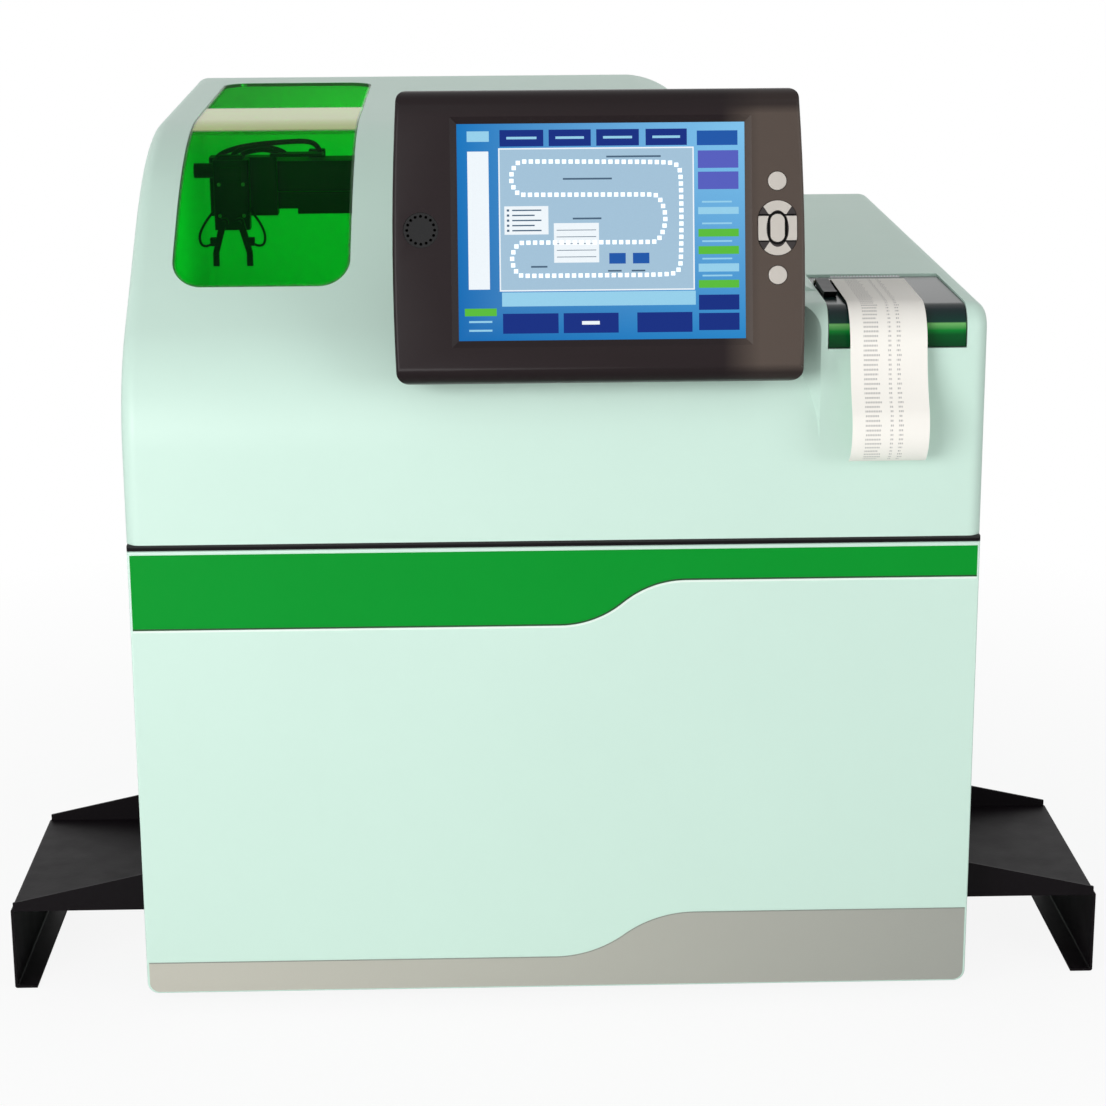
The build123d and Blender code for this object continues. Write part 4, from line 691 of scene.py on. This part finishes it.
def black_tube(name, body, points, radius):
    """Round black hose or cable along a smooth line."""
    curve = bpy.data.curves.new(name, "CURVE")
    curve.dimensions = "3D"
    curve.bevel_depth = radius
    curve.bevel_resolution = 3
    curve.resolution_u = 10
    curve.use_fill_caps = True
    spline = curve.splines.new("NURBS")
    spline.points.add(len(points) - 1)
    for knot, point in zip(spline.points, points):
        knot.co = (*point, 1)
    spline.order_u = 3
    spline.use_endpoint_u = True
    piece = plain_copy(new_piece(f"{name}_line", curve), name)
    smooth(piece.data, 50)
    show(piece, body, black_plastic(), "dark_plastic")


class RepeatTree(Nodes):
    """A Geometry Nodes tree with named inputs that repeats a part and gives it one finish."""

    def __init__(self, name, **inputs):
        super().__init__(bpy.data.node_groups.new(name, "GeometryNodeTree"))
        sockets = self.tree.interface
        sockets.new_socket("Parts", in_out="OUTPUT", socket_type="NodeSocketGeometry")
        for label, kind in {**inputs, "Finish": "Material"}.items():
            sockets.new_socket(label, in_out="INPUT", socket_type=f"NodeSocket{kind}")
        self.start = self.tree.nodes.new("NodeGroupInput")

    def given(self, label):
        """One of the tree's inputs."""
        return Value(self, self.start.outputs[label])

    def repeat(self, part, points):
        """Sets the part on the points, realizes the copies, sets their material and ends the tree."""
        copies = self.node("GeometryNodeInstanceOnPoints", inputs={"Points": points, "Instance": part})
        real = self.node("GeometryNodeRealizeInstances", inputs=[copies])
        finished = self.node("GeometryNodeSetMaterial",
                             inputs={"Geometry": real, "Material": self.given("Finish")})
        self.feed(self.tree.nodes.new("NodeGroupOutput").inputs[0], finished)
        return self.tree


@cache
def row_tree():
    """Tree that repeats the object's own mesh in a straight row."""
    tree = RepeatTree("row_of_parts", Part="Geometry", Count="Int", Step="Vector")
    line = tree.node("GeometryNodeMeshLine", {"mode": "OFFSET"},
                     {"Count": tree.given("Count"), "Offset": tree.given("Step")})
    return tree.repeat(tree.given("Part"), line)


@cache
def route_tree():
    """Tree that sets copies of a part at even steps along the object's curve."""
    tree = RepeatTree("parts_on_route", Route="Geometry", Count="Int", Part="Object")
    steps = tree.node("GeometryNodeResampleCurve",
                      inputs={"Curve": tree.given("Route"), "Count": tree.given("Count")})
    part = tree.node("GeometryNodeObjectInfo", inputs={"Object": tree.given("Part")}, output="Geometry")
    return tree.repeat(part, steps)


def grown(source, tree, name, **inputs):
    """Plain mesh object from a source object and a Geometry Nodes tree. The source is removed."""
    modifier = source.modifiers.new("repeat", "NODES")
    modifier.node_group = tree
    for item in tree.interface.items_tree:
        if item.in_out == "INPUT" and item.name in inputs:
            modifier[item.identifier] = inputs[item.name]
    return plain_copy(source, name)


def screw_head(place, outward, radius):
    """Round screw head with a twelve-sided socket, its axis along outward."""
    bm = bmesh.new()
    turn = outward.to_track_quat("Z", "Y").to_matrix().to_4x4()
    height = radius * 0.6
    bmesh.ops.create_cone(bm, cap_ends=True, segments=12, radius1=radius, radius2=radius * 0.8,
                          depth=height, matrix=Matrix.Translation(place + outward * height / 2) @ turn)
    top = max(bm.faces, key=lambda face: face.calc_center_median().dot(outward))
    bmesh.ops.inset_individual(bm, faces=[top], thickness=radius * 0.38)
    bmesh.ops.translate(bm, verts=top.verts, vec=-outward * height * 0.7)
    return from_bmesh("screw", bm)


def screw_row(name, body, place, outward, count, step, radius=None):
    """Row of screw heads."""
    source = screw_head(Vector(place), Vector(outward), radius or sizes().screw_radius)
    row = grown(source, row_tree(), name, Count=count, Step=step, Finish=steel().material)
    show(row, body, steel(), "steel")


def wave(start, end, turns=14):
    """Points of a band's edge from side to side, with its S-curve of two equal arcs."""
    run = end[0] - start[0]
    rise = end[1] - start[1]
    angle = 2 * atan2(rise, run)
    radius = hypot(run, rise) / 4 / sin(angle / 2)
    lower = [(start[0] + radius * sin(angle * n / turns), start[1] + radius * (1 - cos(angle * n / turns)))
             for n in range(turns + 1)]
    upper = [(start[0] + end[0] - x, start[1] + end[1] - z) for x, z in reversed(lower[:-1])]
    side = body_half - 2 * mm
    return [(-side, start[1]), *lower, *upper, (side, end[1])]


def edge_line(name, points, width, shift, finish, slot):
    """Thin raised line on the front panel along an edge, its middle moved up from the edge by shift."""
    foot, rise = front_y - 0.02 * mm, front_y - 0.4 * mm
    low, high = shift - width / 2, shift + width / 2
    section = ((low, foot), (low, rise), (high, rise), (high, foot))
    bm = bmesh.new()
    rows = []
    for number, (x, z) in enumerate(points):
        before = Vector(points[max(number - 1, 0)])
        after = Vector(points[min(number + 1, len(points) - 1)])
        heading = (after - before).normalized()
        rows.append([bm.verts.new((x - heading.y * off, y, z + heading.x * off)) for off, y in section])
    for first, second in zip(rows, rows[1:]):
        for n in range(4):
            bm.faces.new((first[n], first[(n + 1) % 4], second[(n + 1) % 4], second[n]))
    bm.faces.new(rows[0])
    bm.faces.new(rows[-1])
    show(from_bmesh(name, bm), "drawer", finish, slot)


def on_screen(x, up, lift=0.0):
    """Point of the screen's face, x and up from its centre in millimetres."""
    return screen_centre + display_right * x * mm + display_up * up * mm + display_out * lift


class ANALYZER_OT_cabinet(bpy.types.Operator):
    """Finishes the cabinet, its trays, feet and screws"""

    bl_idname = "analyzer.cabinet"
    bl_label = "Cabinet"

    def execute(self, context):
        paint(zinc_sheet(), "base_pan", "rack_lane")
        paint(mint_paint(), "left_side_panel", "right_side_panel", "rear_panel")
        # Painted shade: the deck frame is black so that the seam under the hood shows dark.
        paint(black_sheet(), "deck_frame")
        paint(soft_rubber(), "hood_seal")
        for tray in ("left_rack_tray", "right_rack_tray"):
            skin(tray, black_sheet(), "tray_black", 40)
        skin("levelling_feet", soft_rubber(), "rubber")
        skin("tray_screws", steel(), "steel")
        low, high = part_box("left_side_panel")
        end_inset, edge_inset, hinge_inset = 30 * mm, 12 * mm, 16 * mm
        length = high.y - low.y - 2 * end_inset
        for side, letter in ((-1, "left"), (1, "right")):
            for z, level in ((low.z + edge_inset, "low"), (high.z - edge_inset, "high")):
                screw_row(f"{letter}_{level}_screws", "cabinet", (side * body_half, low.y + end_inset, z),
                          (side, 0, 0), 5, (0, length / 4, 0))
        width = 2 * (body_half - end_inset)
        for z, level in ((low.z + edge_inset, "low"), (high.z - hinge_inset, "high")):
            screw_row(f"rear_{level}_screws", "cabinet", (-width / 2, rear_y, z), (0, 1, 0), 6,
                      (width / 5, 0, 0))
        return {"FINISHED"}


class ANALYZER_OT_front(bpy.types.Operator):
    """Finishes the drawer's front panel and its two printed bands, with a painted shadow and a painted
    highlight along the green band's lower edge
    """

    bl_idname = "analyzer.front"
    bl_label = "Front panel"

    def execute(self, context):
        skin("drawer_front", mint_paint(), "body_paint", 40)
        paint(green_film(), "green_band")
        paint(grey_film(), "grey_band")
        width = sizes().edge_line
        green_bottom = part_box("green_band")[0].z
        green_edge = wave((3.5 * mm, green_bottom), (100 * mm, green_bottom + 35 * mm))
        # Painted shadow: a dark line along the green band's lower edge.
        dark = edge_film("band_shadow", tint(0, 74, 24), 0.4, 0.2)
        # Painted highlight: a pale line just under that edge.
        pale = edge_film("band_light", tint(236, 250, 242), 0.35, 0.04)
        edge_line("green_edge", green_edge, width, width / 2, dark, "green_film")
        edge_line("green_rim", green_edge, width * 1.2, -width * 0.75, pale, "body_paint")
        grey_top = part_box("grey_band")[1].z
        grey_edge = wave((-2 * mm, grey_top - 36.4 * mm), (108 * mm, grey_top))
        grey = edge_film("band_edge", tint(146, 150, 142), 0.4, 0.1)
        edge_line("grey_edge", grey_edge, width * 0.6, -width * 0.3, grey, "grey_film")
        return {"FINISHED"}


class ANALYZER_OT_drawer(bpy.types.Operator):
    """Finishes the drawer box, runners, sample chain, tubes and mixer"""

    bl_idname = "analyzer.drawer"
    bl_label = "Drawer"

    def execute(self, context):
        paint(zinc_sheet(), "drawer_box", "chain_deck")
        paint(steel(), "outer_rails", "middle_rails", "inner_rails")
        paint(white_plastic(), "sample_chain")
        paint(aluminium(), "mixer_bearings")
        skin("sample_tubes", filled_tubes(), "tube_glass")
        skin("mixer_rotor", white_plastic(), "chain_plastic")
        return {"FINISHED"}


class ANALYZER_OT_hood(bpy.types.Operator):
    """Finishes the hood, its tinted window and its hinges"""

    bl_idname = "analyzer.hood"
    bl_label = "Hood"

    def execute(self, context):
        skin("hood_shell", mint_hood(), "hood_paint", 32)
        skin("hood_window", window_tint(), "window_green", 32)
        for leaves in ("hinge_lower_leaves", "hinge_upper_leaves"):
            skin(leaves, steel(), "steel")
        hinge_x, screw_pitch, screw_inset, leaf_face = 200 * mm, 22 * mm, 7 * mm, rear_y + 2 * mm
        upper_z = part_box("hinge_upper_leaves")[1].z - screw_inset
        lower_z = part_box("hinge_lower_leaves")[0].z + screw_inset
        for side, letter in ((-1, "left"), (1, "right")):
            for level, body, z in (("upper", "hood", upper_z), ("lower", "cabinet", lower_z)):
                screw_row(f"{letter}_{level}_hinge_screws", body,
                          (side * hinge_x - screw_pitch, leaf_face, z), (0, 1, 0), 3,
                          (screw_pitch, 0, 0), radius=2.6 * mm)
        return {"FINISHED"}


class ANALYZER_OT_display(bpy.types.Operator):
    """Finishes the display housing, its grille and its keys"""

    bl_idname = "analyzer.display"
    bl_label = "Display"

    def execute(self, context):
        skin("display_bezel", bezel_plastic(), "display_dark", 30)
        skin("display_back", housing_plastic(), "display_dark", 30)
        paint(black_plastic(), "display_bracket", "keypad_base", "display_screen")
        skin("speaker_grille", black_plastic(), "dark_plastic", 40)
        for key in ("upper", "centre", "lower"):
            skin(f"key_{key}", key_plastic(), "key_grey", 40)
        for key in ("up", "left", "right", "down"):
            skin(f"key_{key}", ring_plastic(), "key_grey", 40)
        return {"FINISHED"}


class ANALYZER_OT_screen(bpy.types.Operator):
    """Draws the screen's picture: buttons, map of the sample chain and fields, without words"""

    bl_idname = "analyzer.screen"
    bl_label = "Screen picture"

    navy = tint(0, 38, 128)
    dim = tint(20, 84, 168)
    white = tint(240, 247, 252)
    map_blue = tint(163, 194, 216)
    violet = tint(84, 92, 190)
    pale = tint(150, 208, 235)
    leaf = tint(88, 188, 52)
    ink = tint(70, 96, 120)

    def areas(self):
        """Flat areas of the picture: left, bottom, right, top in millimetres, then the colour."""
        for group in (self.head_row, self.map_field, self.foot_row, self.side_columns):
            yield from group()

    def head_row(self):
        """Field at the upper left, level bar below it, four buttons and a field at the right."""
        yield (-98.1, 66.2, -81.9, 73.8, self.pale)
        yield (-97.9, -41.6, -82.4, 59.1, self.white)
        for left, right in ((-74.1, -42), (-38.1, -7.2), (-3.2, 28.1), (33, 63.3)):
            yield (left, 62.6, right, 74.6, self.navy)
            yield (left + 5, 67.8, right - 5, 69.6, self.pale)
        yield (70.6, 62.3, 100.5, 73, self.dim)

    def map_field(self):
        """Framed map with a list, a lined card, two small keys and bars in place of words."""
        yield (-75.2, -43.2, 68.3, 61.4, self.white)
        yield (-74.2, -42.2, 67.3, 60.4, self.map_blue)
        yield (-71.2, -1.7, -38.9, 19, self.white)
        for row in range(5):
            drop = row * 3.7
            yield (-69.4, 15.2 - drop, -67.6, 16.8 - drop, self.ink)
            yield (-65.5, 15.5 - drop, -44 - row % 2 * 5, 16.5 - drop, self.ink)
        yield (-35, -22.5, -1.9, 6.4, self.white)
        for line in range(5):
            yield (-33, -18.6 + line * 4.9, -4, -18.1 + line * 4.9, self.ink)
        for left in (5.5, 22.9):
            yield (left, -23.6, left + 12.1, -15.8, self.dim)
            yield (left - 1, -29.4, left + 9, -28.2, self.ink)
        for left, bottom, right in ((-28, 38, 8), (4, 54, 44), (-21, 9, 0), (-52, -26, -40)):
            yield (left, bottom, right, bottom + 1.3, self.ink)

    def foot_row(self):
        """Pale bar and three buttons under the map."""
        yield (-73.6, -54.2, 68.9, -43.9, self.pale)
        for left, right in ((-73.1, -32.3), (-28.5, 11.9), (25.7, 66.3)):
            yield (left, -74.1, right, -59.5, self.navy)
        yield (-15, -68, -2, -65.4, self.white)

    def side_columns(self):
        """Column of fields at the right, and the foot of the left column."""
        for bottom, top, face in ((45.7, 58.5, self.violet), (30.2, 43, self.violet), (12, 17.1, self.pale),
                                  (-4.5, 1.2, self.leaf), (-17.3, -11.4, self.leaf),
                                  (-30.1, -24.2, self.pale), (-42, -36.2, self.leaf),
                                  (-58.1, -47, self.navy), (-73, -60.4, self.navy)):
            yield (71.2, bottom, 101, top, face)
        for up in (20.4, 4.6, -8.4, -21.2, -33.6):
            yield (74, up, 96, up + 1.2, self.pale)
        yield (-101.1, -61.1, -77.6, -55.5, self.leaf)
        for up in (-66, -72.4):
            yield (-98, up, -81, up + 1.4, self.pale)

    def execute(self, context):
        bm = bmesh.new()
        layer = bm.loops.layers.float_color.new("picture")

        def lay(left, bottom, right, top, lift, shades):
            """Flat area of the picture with a colour for each corner."""
            places = ((left, bottom), (right, bottom), (right, top), (left, top))
            face = bm.faces.new([bm.verts.new(on_screen(x, up, lift)) for x, up in places])
            for loop, shade in zip(face.loops, shades):
                loop[layer] = (*shade, 1)

        half_width, half_height = 105.6, 79.2
        first_lift, lift_step = 0.14 * mm, 0.0012 * mm
        lay(-half_width, -half_height, half_width, half_height, 0.1 * mm,
            (tint(0, 104, 178), tint(30, 132, 200), tint(128, 196, 238), tint(0, 116, 190)))
        for number, (*edges, shade) in enumerate(self.areas()):
            lay(*edges, first_lift + lift_step * number, 4 * [shade])
        mesh = bpy.data.meshes.new("screen_picture")
        bm.to_mesh(mesh)
        bm.free()
        show(new_piece("screen_picture", mesh), "hood", screen_glow(), "screen")
        self.draw_map()
        return {"FINISHED"}

    def draw_map(self):
        """Links of the chain in the map, set along its closed route."""
        route = ((-54, 51.6), (0, 51), (46, 50.4), (57, 49), (59, 38), (58.6, -18), (57, -30.5), (46, -32),
                 (0, -32), (-54, -31.9), (-62, -31.7), (-67.2, -19.7), (-62, -7.8), (-54, -7.6), (0, -7.8),
                 (34, -8), (42.5, -7.6), (48.5, 9.5), (42.5, 26.5), (34, 26.8), (0, 27), (-54, 27.3),
                 (-62, 27.5), (-67.2, 39.5), (-62, 51.5))
        curve = bpy.data.curves.new("map_route", "CURVE")
        curve.dimensions = "3D"
        spline = curve.splines.new("NURBS")
        spline.points.add(len(route) - 1)
        for knot, (x, up) in zip(spline.points, route):
            knot.co = (*on_screen(x, up, 0.27 * mm), 1)
        spline.order_u = 3
        spline.use_cyclic_u = True
        half = sizes().map_link / 2
        bm = bmesh.new()
        bm.faces.new([bm.verts.new(display_right * x * half + display_up * up * half)
                      for x, up in ((-1, -1), (1, -1), (1, 1), (-1, 1))])
        link = from_bmesh("map_link", bm)
        if link.data.polygons[0].normal.dot(display_out) < 0:
            link.data.flip_normals()
        links = grown(new_piece("map_route", curve), route_tree(), "map_links", Count=124, Part=link,
                      Finish=map_white().material)
        bpy.data.objects.remove(link)
        show(links, "hood", map_white(), "screen")


class ANALYZER_OT_printer(bpy.types.Operator):
    """Finishes the printer, its cover and the printed strip, and adds the tear-off comb"""

    bl_idname = "analyzer.printer"
    bl_label = "Printer"

    def execute(self, context):
        paint(black_plastic(), "printer_bay")
        skin("printer_cover", cover_gloss(), "printer_dark", 30)
        skin("cover_lever", black_plastic(), "dark_plastic", 40)
        skin("paper_roll", rolled_paper(), "paper")
        skin("platen_roller", soft_rubber(), "rubber")
        self.print_strip()
        self.cut_comb()
        return {"FINISHED"}

    def print_strip(self):
        """Printed strip: its texture runs along the paper from the slot to the free end."""
        mesh = skin("paper_strip", printed_paper(), "paper", 60).data
        inside_y, inside_z = front_y + 60 * mm, 470 * mm
        shortest_step = 0.6 * mm

        def turn(point):
            """Angle of a point round a place inside the printer."""
            return atan2(point.z - inside_z, point.y - inside_y) % (2 * pi)

        edge = sorted((v.co for v in mesh.vertices if v.co.x < paper_low.x + 0.1 * mm), key=turn)
        lengths = [0.0]
        for first, second in zip(edge, edge[1:]):
            step = (second - first).length
            lengths.append(lengths[-1] + (step if step > shortest_step else 0.0))

        def along(point):
            """Length of the paper at the nearest point of its edge."""
            gaps = [(corner.y - point.y) ** 2 + (corner.z - point.z) ** 2 for corner in edge]
            return lengths[gaps.index(min(gaps))]

        layer = mesh.uv_layers.new(name="strip")
        for loop in mesh.loops:
            point = mesh.vertices[loop.vertex_index].co
            layer.data[loop.index].uv = ((point.x - paper_low.x) / (paper_high.x - paper_low.x),
                                         lengths[-1] - along(point))

    def cut_comb(self):
        """Row of teeth at the front of the paper slot."""
        pitch = sizes().comb_pitch
        base = Vector((paper_low.x, front_y + 116.4 * mm, cover_high.z - 0.1 * mm))
        bm = bmesh.new()
        back_left, back_right, front_right, front_left, back_tip, front_tip = (
            bm.verts.new(base + Vector(point)) for point in
            ((0, 0, 0), (pitch, 0, 0), (pitch, -1.2 * mm, 0), (0, -1.2 * mm, 0),
             (pitch / 2, 0.2 * mm, 1.5 * mm), (pitch / 2, -0.6 * mm, 1.5 * mm)))
        for corners in ((back_left, back_right, front_right, front_left), (back_left, back_tip, back_right),
                        (front_left, front_right, front_tip), (back_left, front_left, front_tip, back_tip),
                        (back_right, back_tip, front_tip, front_right)):
            bm.faces.new(corners)
        comb = grown(from_bmesh("tooth", bm), row_tree(), "tear_comb",
                     Count=int((paper_high.x - paper_low.x) / pitch), Step=(pitch, 0, 0),
                     Finish=steel().material)
        show(comb, "printer_cover_unit", steel(), "steel")


class ANALYZER_OT_gripper(bpy.types.Operator):
    """Finishes the gripper and its gantry, and adds its hoses, cables and connectors"""

    bl_idname = "analyzer.gripper"
    bl_label = "Gripper"

    def execute(self, context):
        paint(dark_metal(), "gantry_beam", "gripper_carriage")
        paint(aluminium(), "gantry_columns")
        skin("gantry_motor", black_plastic(), "dark_plastic")
        for piece in ("gripper_head", "left_finger", "right_finger"):
            skin(piece, dark_metal(), "dark_plastic", 40)
        self.lay_hoses()
        self.loop_cables()
        self.fit_connectors()
        return {"FINISHED"}

    def lay_hoses(self):
        """Shelf on the carriage and three hoses that rise from the head's top and end on the shelf."""
        shelf = (head_centre + 54 * mm, beam_face - 7 * mm, beam_top + 6.4 * mm)
        black_blocks("hose_shelf", "carriage", (shelf, (44 * mm, 18 * mm, 2.6 * mm), 0.6 * mm))
        from_head = Vector((head_centre, beam_face, head_high.z))
        from_beam = Vector((head_centre, beam_face, beam_top))
        hoses = (("hose_long", ((-12, -24, -1), (-11, -21, 3)),
                  ((-4, -8, 10), (14, -4, 14), (40, -2, 16), (64, -1, 17), (72, -1, 12), (73, -1, 7))),
                 ("hose_middle", ((0, -21, -1), (1, -19.5, 4)),
                  ((8, -8, 11), (24, -4, 13), (40, -4, 10), (44, -4, 7))),
                 ("hose_short", ((8, -18, -1), (9, -16.5, 4)),
                  ((14, -8, 9), (26, -7, 11), (36, -8, 9), (38, -8, 7))))
        for name, rise, run in hoses:
            places = [from_head + Vector(point) * mm for point in rise]
            places += [from_beam + Vector(point) * mm for point in run]
            black_tube(name, "carriage", places, sizes().hose_radius)

    def loop_cables(self):
        """Thin loops from the head's sides out, down and back to a plug on each finger."""
        finger_y = 4.2 * mm
        loop = ((13.7, 13, 18), (17.7, 11, 13), (23.7, 8, 5), (27.7, 4.2, -4), (26.2, 4.2, -12),
                (20.7, 4.2, -13), (17.7, 4.2, -11))
        for name, side in (("left", -1), ("right", 1)):
            plug = (head_centre + side * 15 * mm, head_low.y + finger_y, head_low.z - 9 * mm)
            black_blocks(f"{name}_finger_plug", f"finger_{name}",
                         (plug, (7 * mm, 5.6 * mm, 7 * mm), 0.6 * mm))
            places = [(head_centre + side * out * mm, head_low.y + back * mm, head_low.z + up * mm)
                      for out, back, up in loop]
            black_tube(f"cable_{name}", "carriage", places, sizes().cable_radius)

    def fit_connectors(self):
        """Plug blocks along the beam's top, a strip under it, and a terminal and screws on the head."""
        count, first_x = 5, beam_low.x + 60 * mm
        pitch = (beam_high.x - first_x) / count
        blocks = []
        for number in range(count):
            width = (14 + 5 * (number % 3)) * mm
            height = (7 + 3 * (number % 2)) * mm
            centre = (first_x + number * pitch, beam_face + 28 * mm, beam_top + height / 2 - 0.2 * mm)
            blocks.append((centre, (width, 9 * mm, height), 0.8 * mm))
        left, right = head_centre + 52 * mm, beam_high.x - 4 * mm
        blocks.append((((left + right) / 2, beam_face + 22 * mm, beam_top - 43 * mm),
                       (right - left, 18 * mm, 6.6 * mm), 0.8 * mm))
        black_blocks("beam_plugs", "beam", *blocks)
        top = (head_centre, head_low.y + 14 * mm, head_high.z + 1.8 * mm)
        face = (head_centre, head_low.y + 7 * mm, head_high.z - 12 * mm)
        black_blocks("head_terminal", "carriage", (top, (20 * mm, 11 * mm, 4 * mm), 0.8 * mm),
                     (face, (17 * mm, 2 * mm, 12 * mm), 0.6 * mm))
        for name, rise in (("head_screws_high", 38 * mm), ("head_screws_low", 12 * mm)):
            screw_row(name, "carriage", (head_centre - 10 * mm, head_low.y + 7.4 * mm, head_low.z + rise),
                      (0, -1, 0), 2, (20 * mm, 0, 0), radius=1.6 * mm)


class ANALYZER_OT_services(bpy.types.Operator):
    """Finishes the fan, the mains inlet, the power supply and the control board"""

    bl_idname = "analyzer.services"
    bl_label = "Services"

    def execute(self, context):
        for piece in ("fan_frame", "fan_rotor"):
            skin(piece, black_plastic(), "dark_plastic")
        skin("fan_guard", steel(), "steel")
        for piece in ("power_inlet", "power_switch"):
            skin(piece, black_plastic(), "dark_plastic")
        paint(zinc_sheet(), "power_supply")
        paint(circuit_board(), "control_board")
        return {"FINISHED"}


class ANALYZER_OT_stage(bpy.types.Operator):
    """Sets the floor, the lamps, the sky and the camera"""

    bl_idname = "analyzer.stage"
    bl_label = "Stage"

    def execute(self, context):
        settings = context.scene.analyzer_stage
        self.lay_floor()
        for lamp in (("key_lamp", (-1.7, -2.7, 1.0), (0, 0, 0.33), (1.8, 1.3), settings.key_power),
                     ("fill_lamp", (2.2, -2.2, 1.0), (0, 0, 0.35), (1.4, 1.2), settings.fill_power),
                     ("top_lamp", (-0.25, 0.35, 2.4), (0, 0, 0.4), (2.2, 1.2), settings.top_power),
                     ("inner_lamp", (-0.14, 0.03, 0.635), (-0.15, 0.2, 0.4), (0.12, 0.05),
                      settings.inner_power)):
            self.hang_lamp(context.scene, *lamp)
        self.light_sky(context.scene, settings.sky)
        self.aim_camera(context.scene, settings.lens)
        context.scene.view_settings.view_transform = "Standard"
        return {"FINISHED"}

    def lay_floor(self):
        """Large pale floor that looks white to the camera and keeps the shadow."""
        bm = bmesh.new()
        bmesh.ops.create_grid(bm, x_segments=1, y_segments=1, size=30)
        floor = from_bmesh("floor", bm)
        paper = Finish("floor_paper", (0.86, 0.86, 0.86), 0.9)
        camera_ray = paper.node("ShaderNodeLightPath", output="Is Camera Ray")
        glow = paper.node("ShaderNodeEmission", inputs=[(1, 1, 1), 1.0])
        far = ((paper.place("X").diagonal(paper.place("Y")) - 0.5) * 1.4).clamped()
        paper.blend(camera_ray * (0.9 + 0.1 * far), paper.shader, glow)
        floor.data.materials.append(paper.material)
        if floor.data.polygons[0].normal.z < 0:
            floor.data.flip_normals()

    def hang_lamp(self, scene, name, place, target, size, power):
        """Rectangular area lamp aimed at a point."""
        data = bpy.data.lights.new(name, "AREA")
        data.shape = "RECTANGLE"
        data.size, data.size_y = size
        data.energy = power
        lamp = bpy.data.objects.new(name, data)
        scene.collection.objects.link(lamp)
        lamp.location = place
        lamp.rotation_euler = (Vector(target) - Vector(place)).to_track_quat("-Z", "Y").to_euler()

    def light_sky(self, scene, strength):
        """White to the camera, behind glass and in reflections, dimmer as light."""
        scene.world = bpy.data.worlds.new("sky")
        scene.world.use_nodes = True
        sky = Nodes(scene.world.node_tree)
        camera, glass, gloss = (sky.node("ShaderNodeLightPath", output=f"Is {kind} Ray")
                                for kind in ("Camera", "Transmission", "Glossy"))
        background = sky.tree.nodes["Background"]
        sky.feed(background.inputs["Color"], (1, 1, 1))
        sky.feed(background.inputs["Strength"],
                 strength + (1 - strength) * camera.larger(glass).larger(gloss))

    def aim_camera(self, scene, lens):
        """Camera at the photograph's place and angle."""
        place = Vector((-0.0490, -2.2814, 0.8999))
        yaw, pitch, roll = radians(1.38), radians(15.02), radians(-0.36)
        ahead = Vector((sin(yaw) * cos(pitch), cos(yaw) * cos(pitch), -sin(pitch)))
        level = Vector((cos(yaw), -sin(yaw), 0))
        upright = level.cross(ahead)
        right = level * cos(roll) + upright * sin(roll)
        up = upright * cos(roll) - level * sin(roll)
        data = bpy.data.cameras.new("camera")
        data.sensor_width = 36
        data.lens = lens
        camera = bpy.data.objects.new("camera", data)
        scene.collection.objects.link(camera)
        turn = Matrix((right, up, -ahead)).transposed().to_4x4()
        camera.matrix_world = Matrix.Translation(place) @ turn
        scene.camera = camera


class ANALYZER_PT_parts(bpy.types.Panel):
    """Panel that lists the analyzer's parts and settings"""

    bl_label = "Analyzer"
    bl_space_type = "VIEW_3D"
    bl_region_type = "UI"
    bl_category = "Analyzer"

    def draw(self, context):
        for part in parts:
            self.layout.operator(part.bl_idname)
        for name, group in groups.items():
            box = self.layout.box()
            for setting in group.__annotations__:
                box.prop(getattr(context.scene, name), setting)


groups = {"analyzer_colours": AnalyzerColours, "analyzer_sizes": AnalyzerSizes,
          "analyzer_stage": AnalyzerStage}
parts = (ANALYZER_OT_cabinet, ANALYZER_OT_front, ANALYZER_OT_drawer, ANALYZER_OT_hood, ANALYZER_OT_display,
         ANALYZER_OT_screen, ANALYZER_OT_printer, ANALYZER_OT_gripper, ANALYZER_OT_services,
         ANALYZER_OT_stage)
classes = (*groups.values(), *parts, ANALYZER_PT_parts)


def register():
    """Adds the settings, the operators and the panel to Blender."""
    for item in classes:
        bpy.utils.register_class(item)
    for name, group in groups.items():
        setattr(bpy.types.Scene, name, bpy.props.PointerProperty(type=group))


def unregister():
    """Takes them out again."""
    for name in groups:
        delattr(bpy.types.Scene, name)
    for item in reversed(classes):
        bpy.utils.unregister_class(item)


def main():
    """Dresses the whole analyzer."""
    register()
    for part in parts:
        group, name = part.bl_idname.split(".")
        getattr(getattr(bpy.ops, group), name)()


if __name__ == "__main__":
    main()
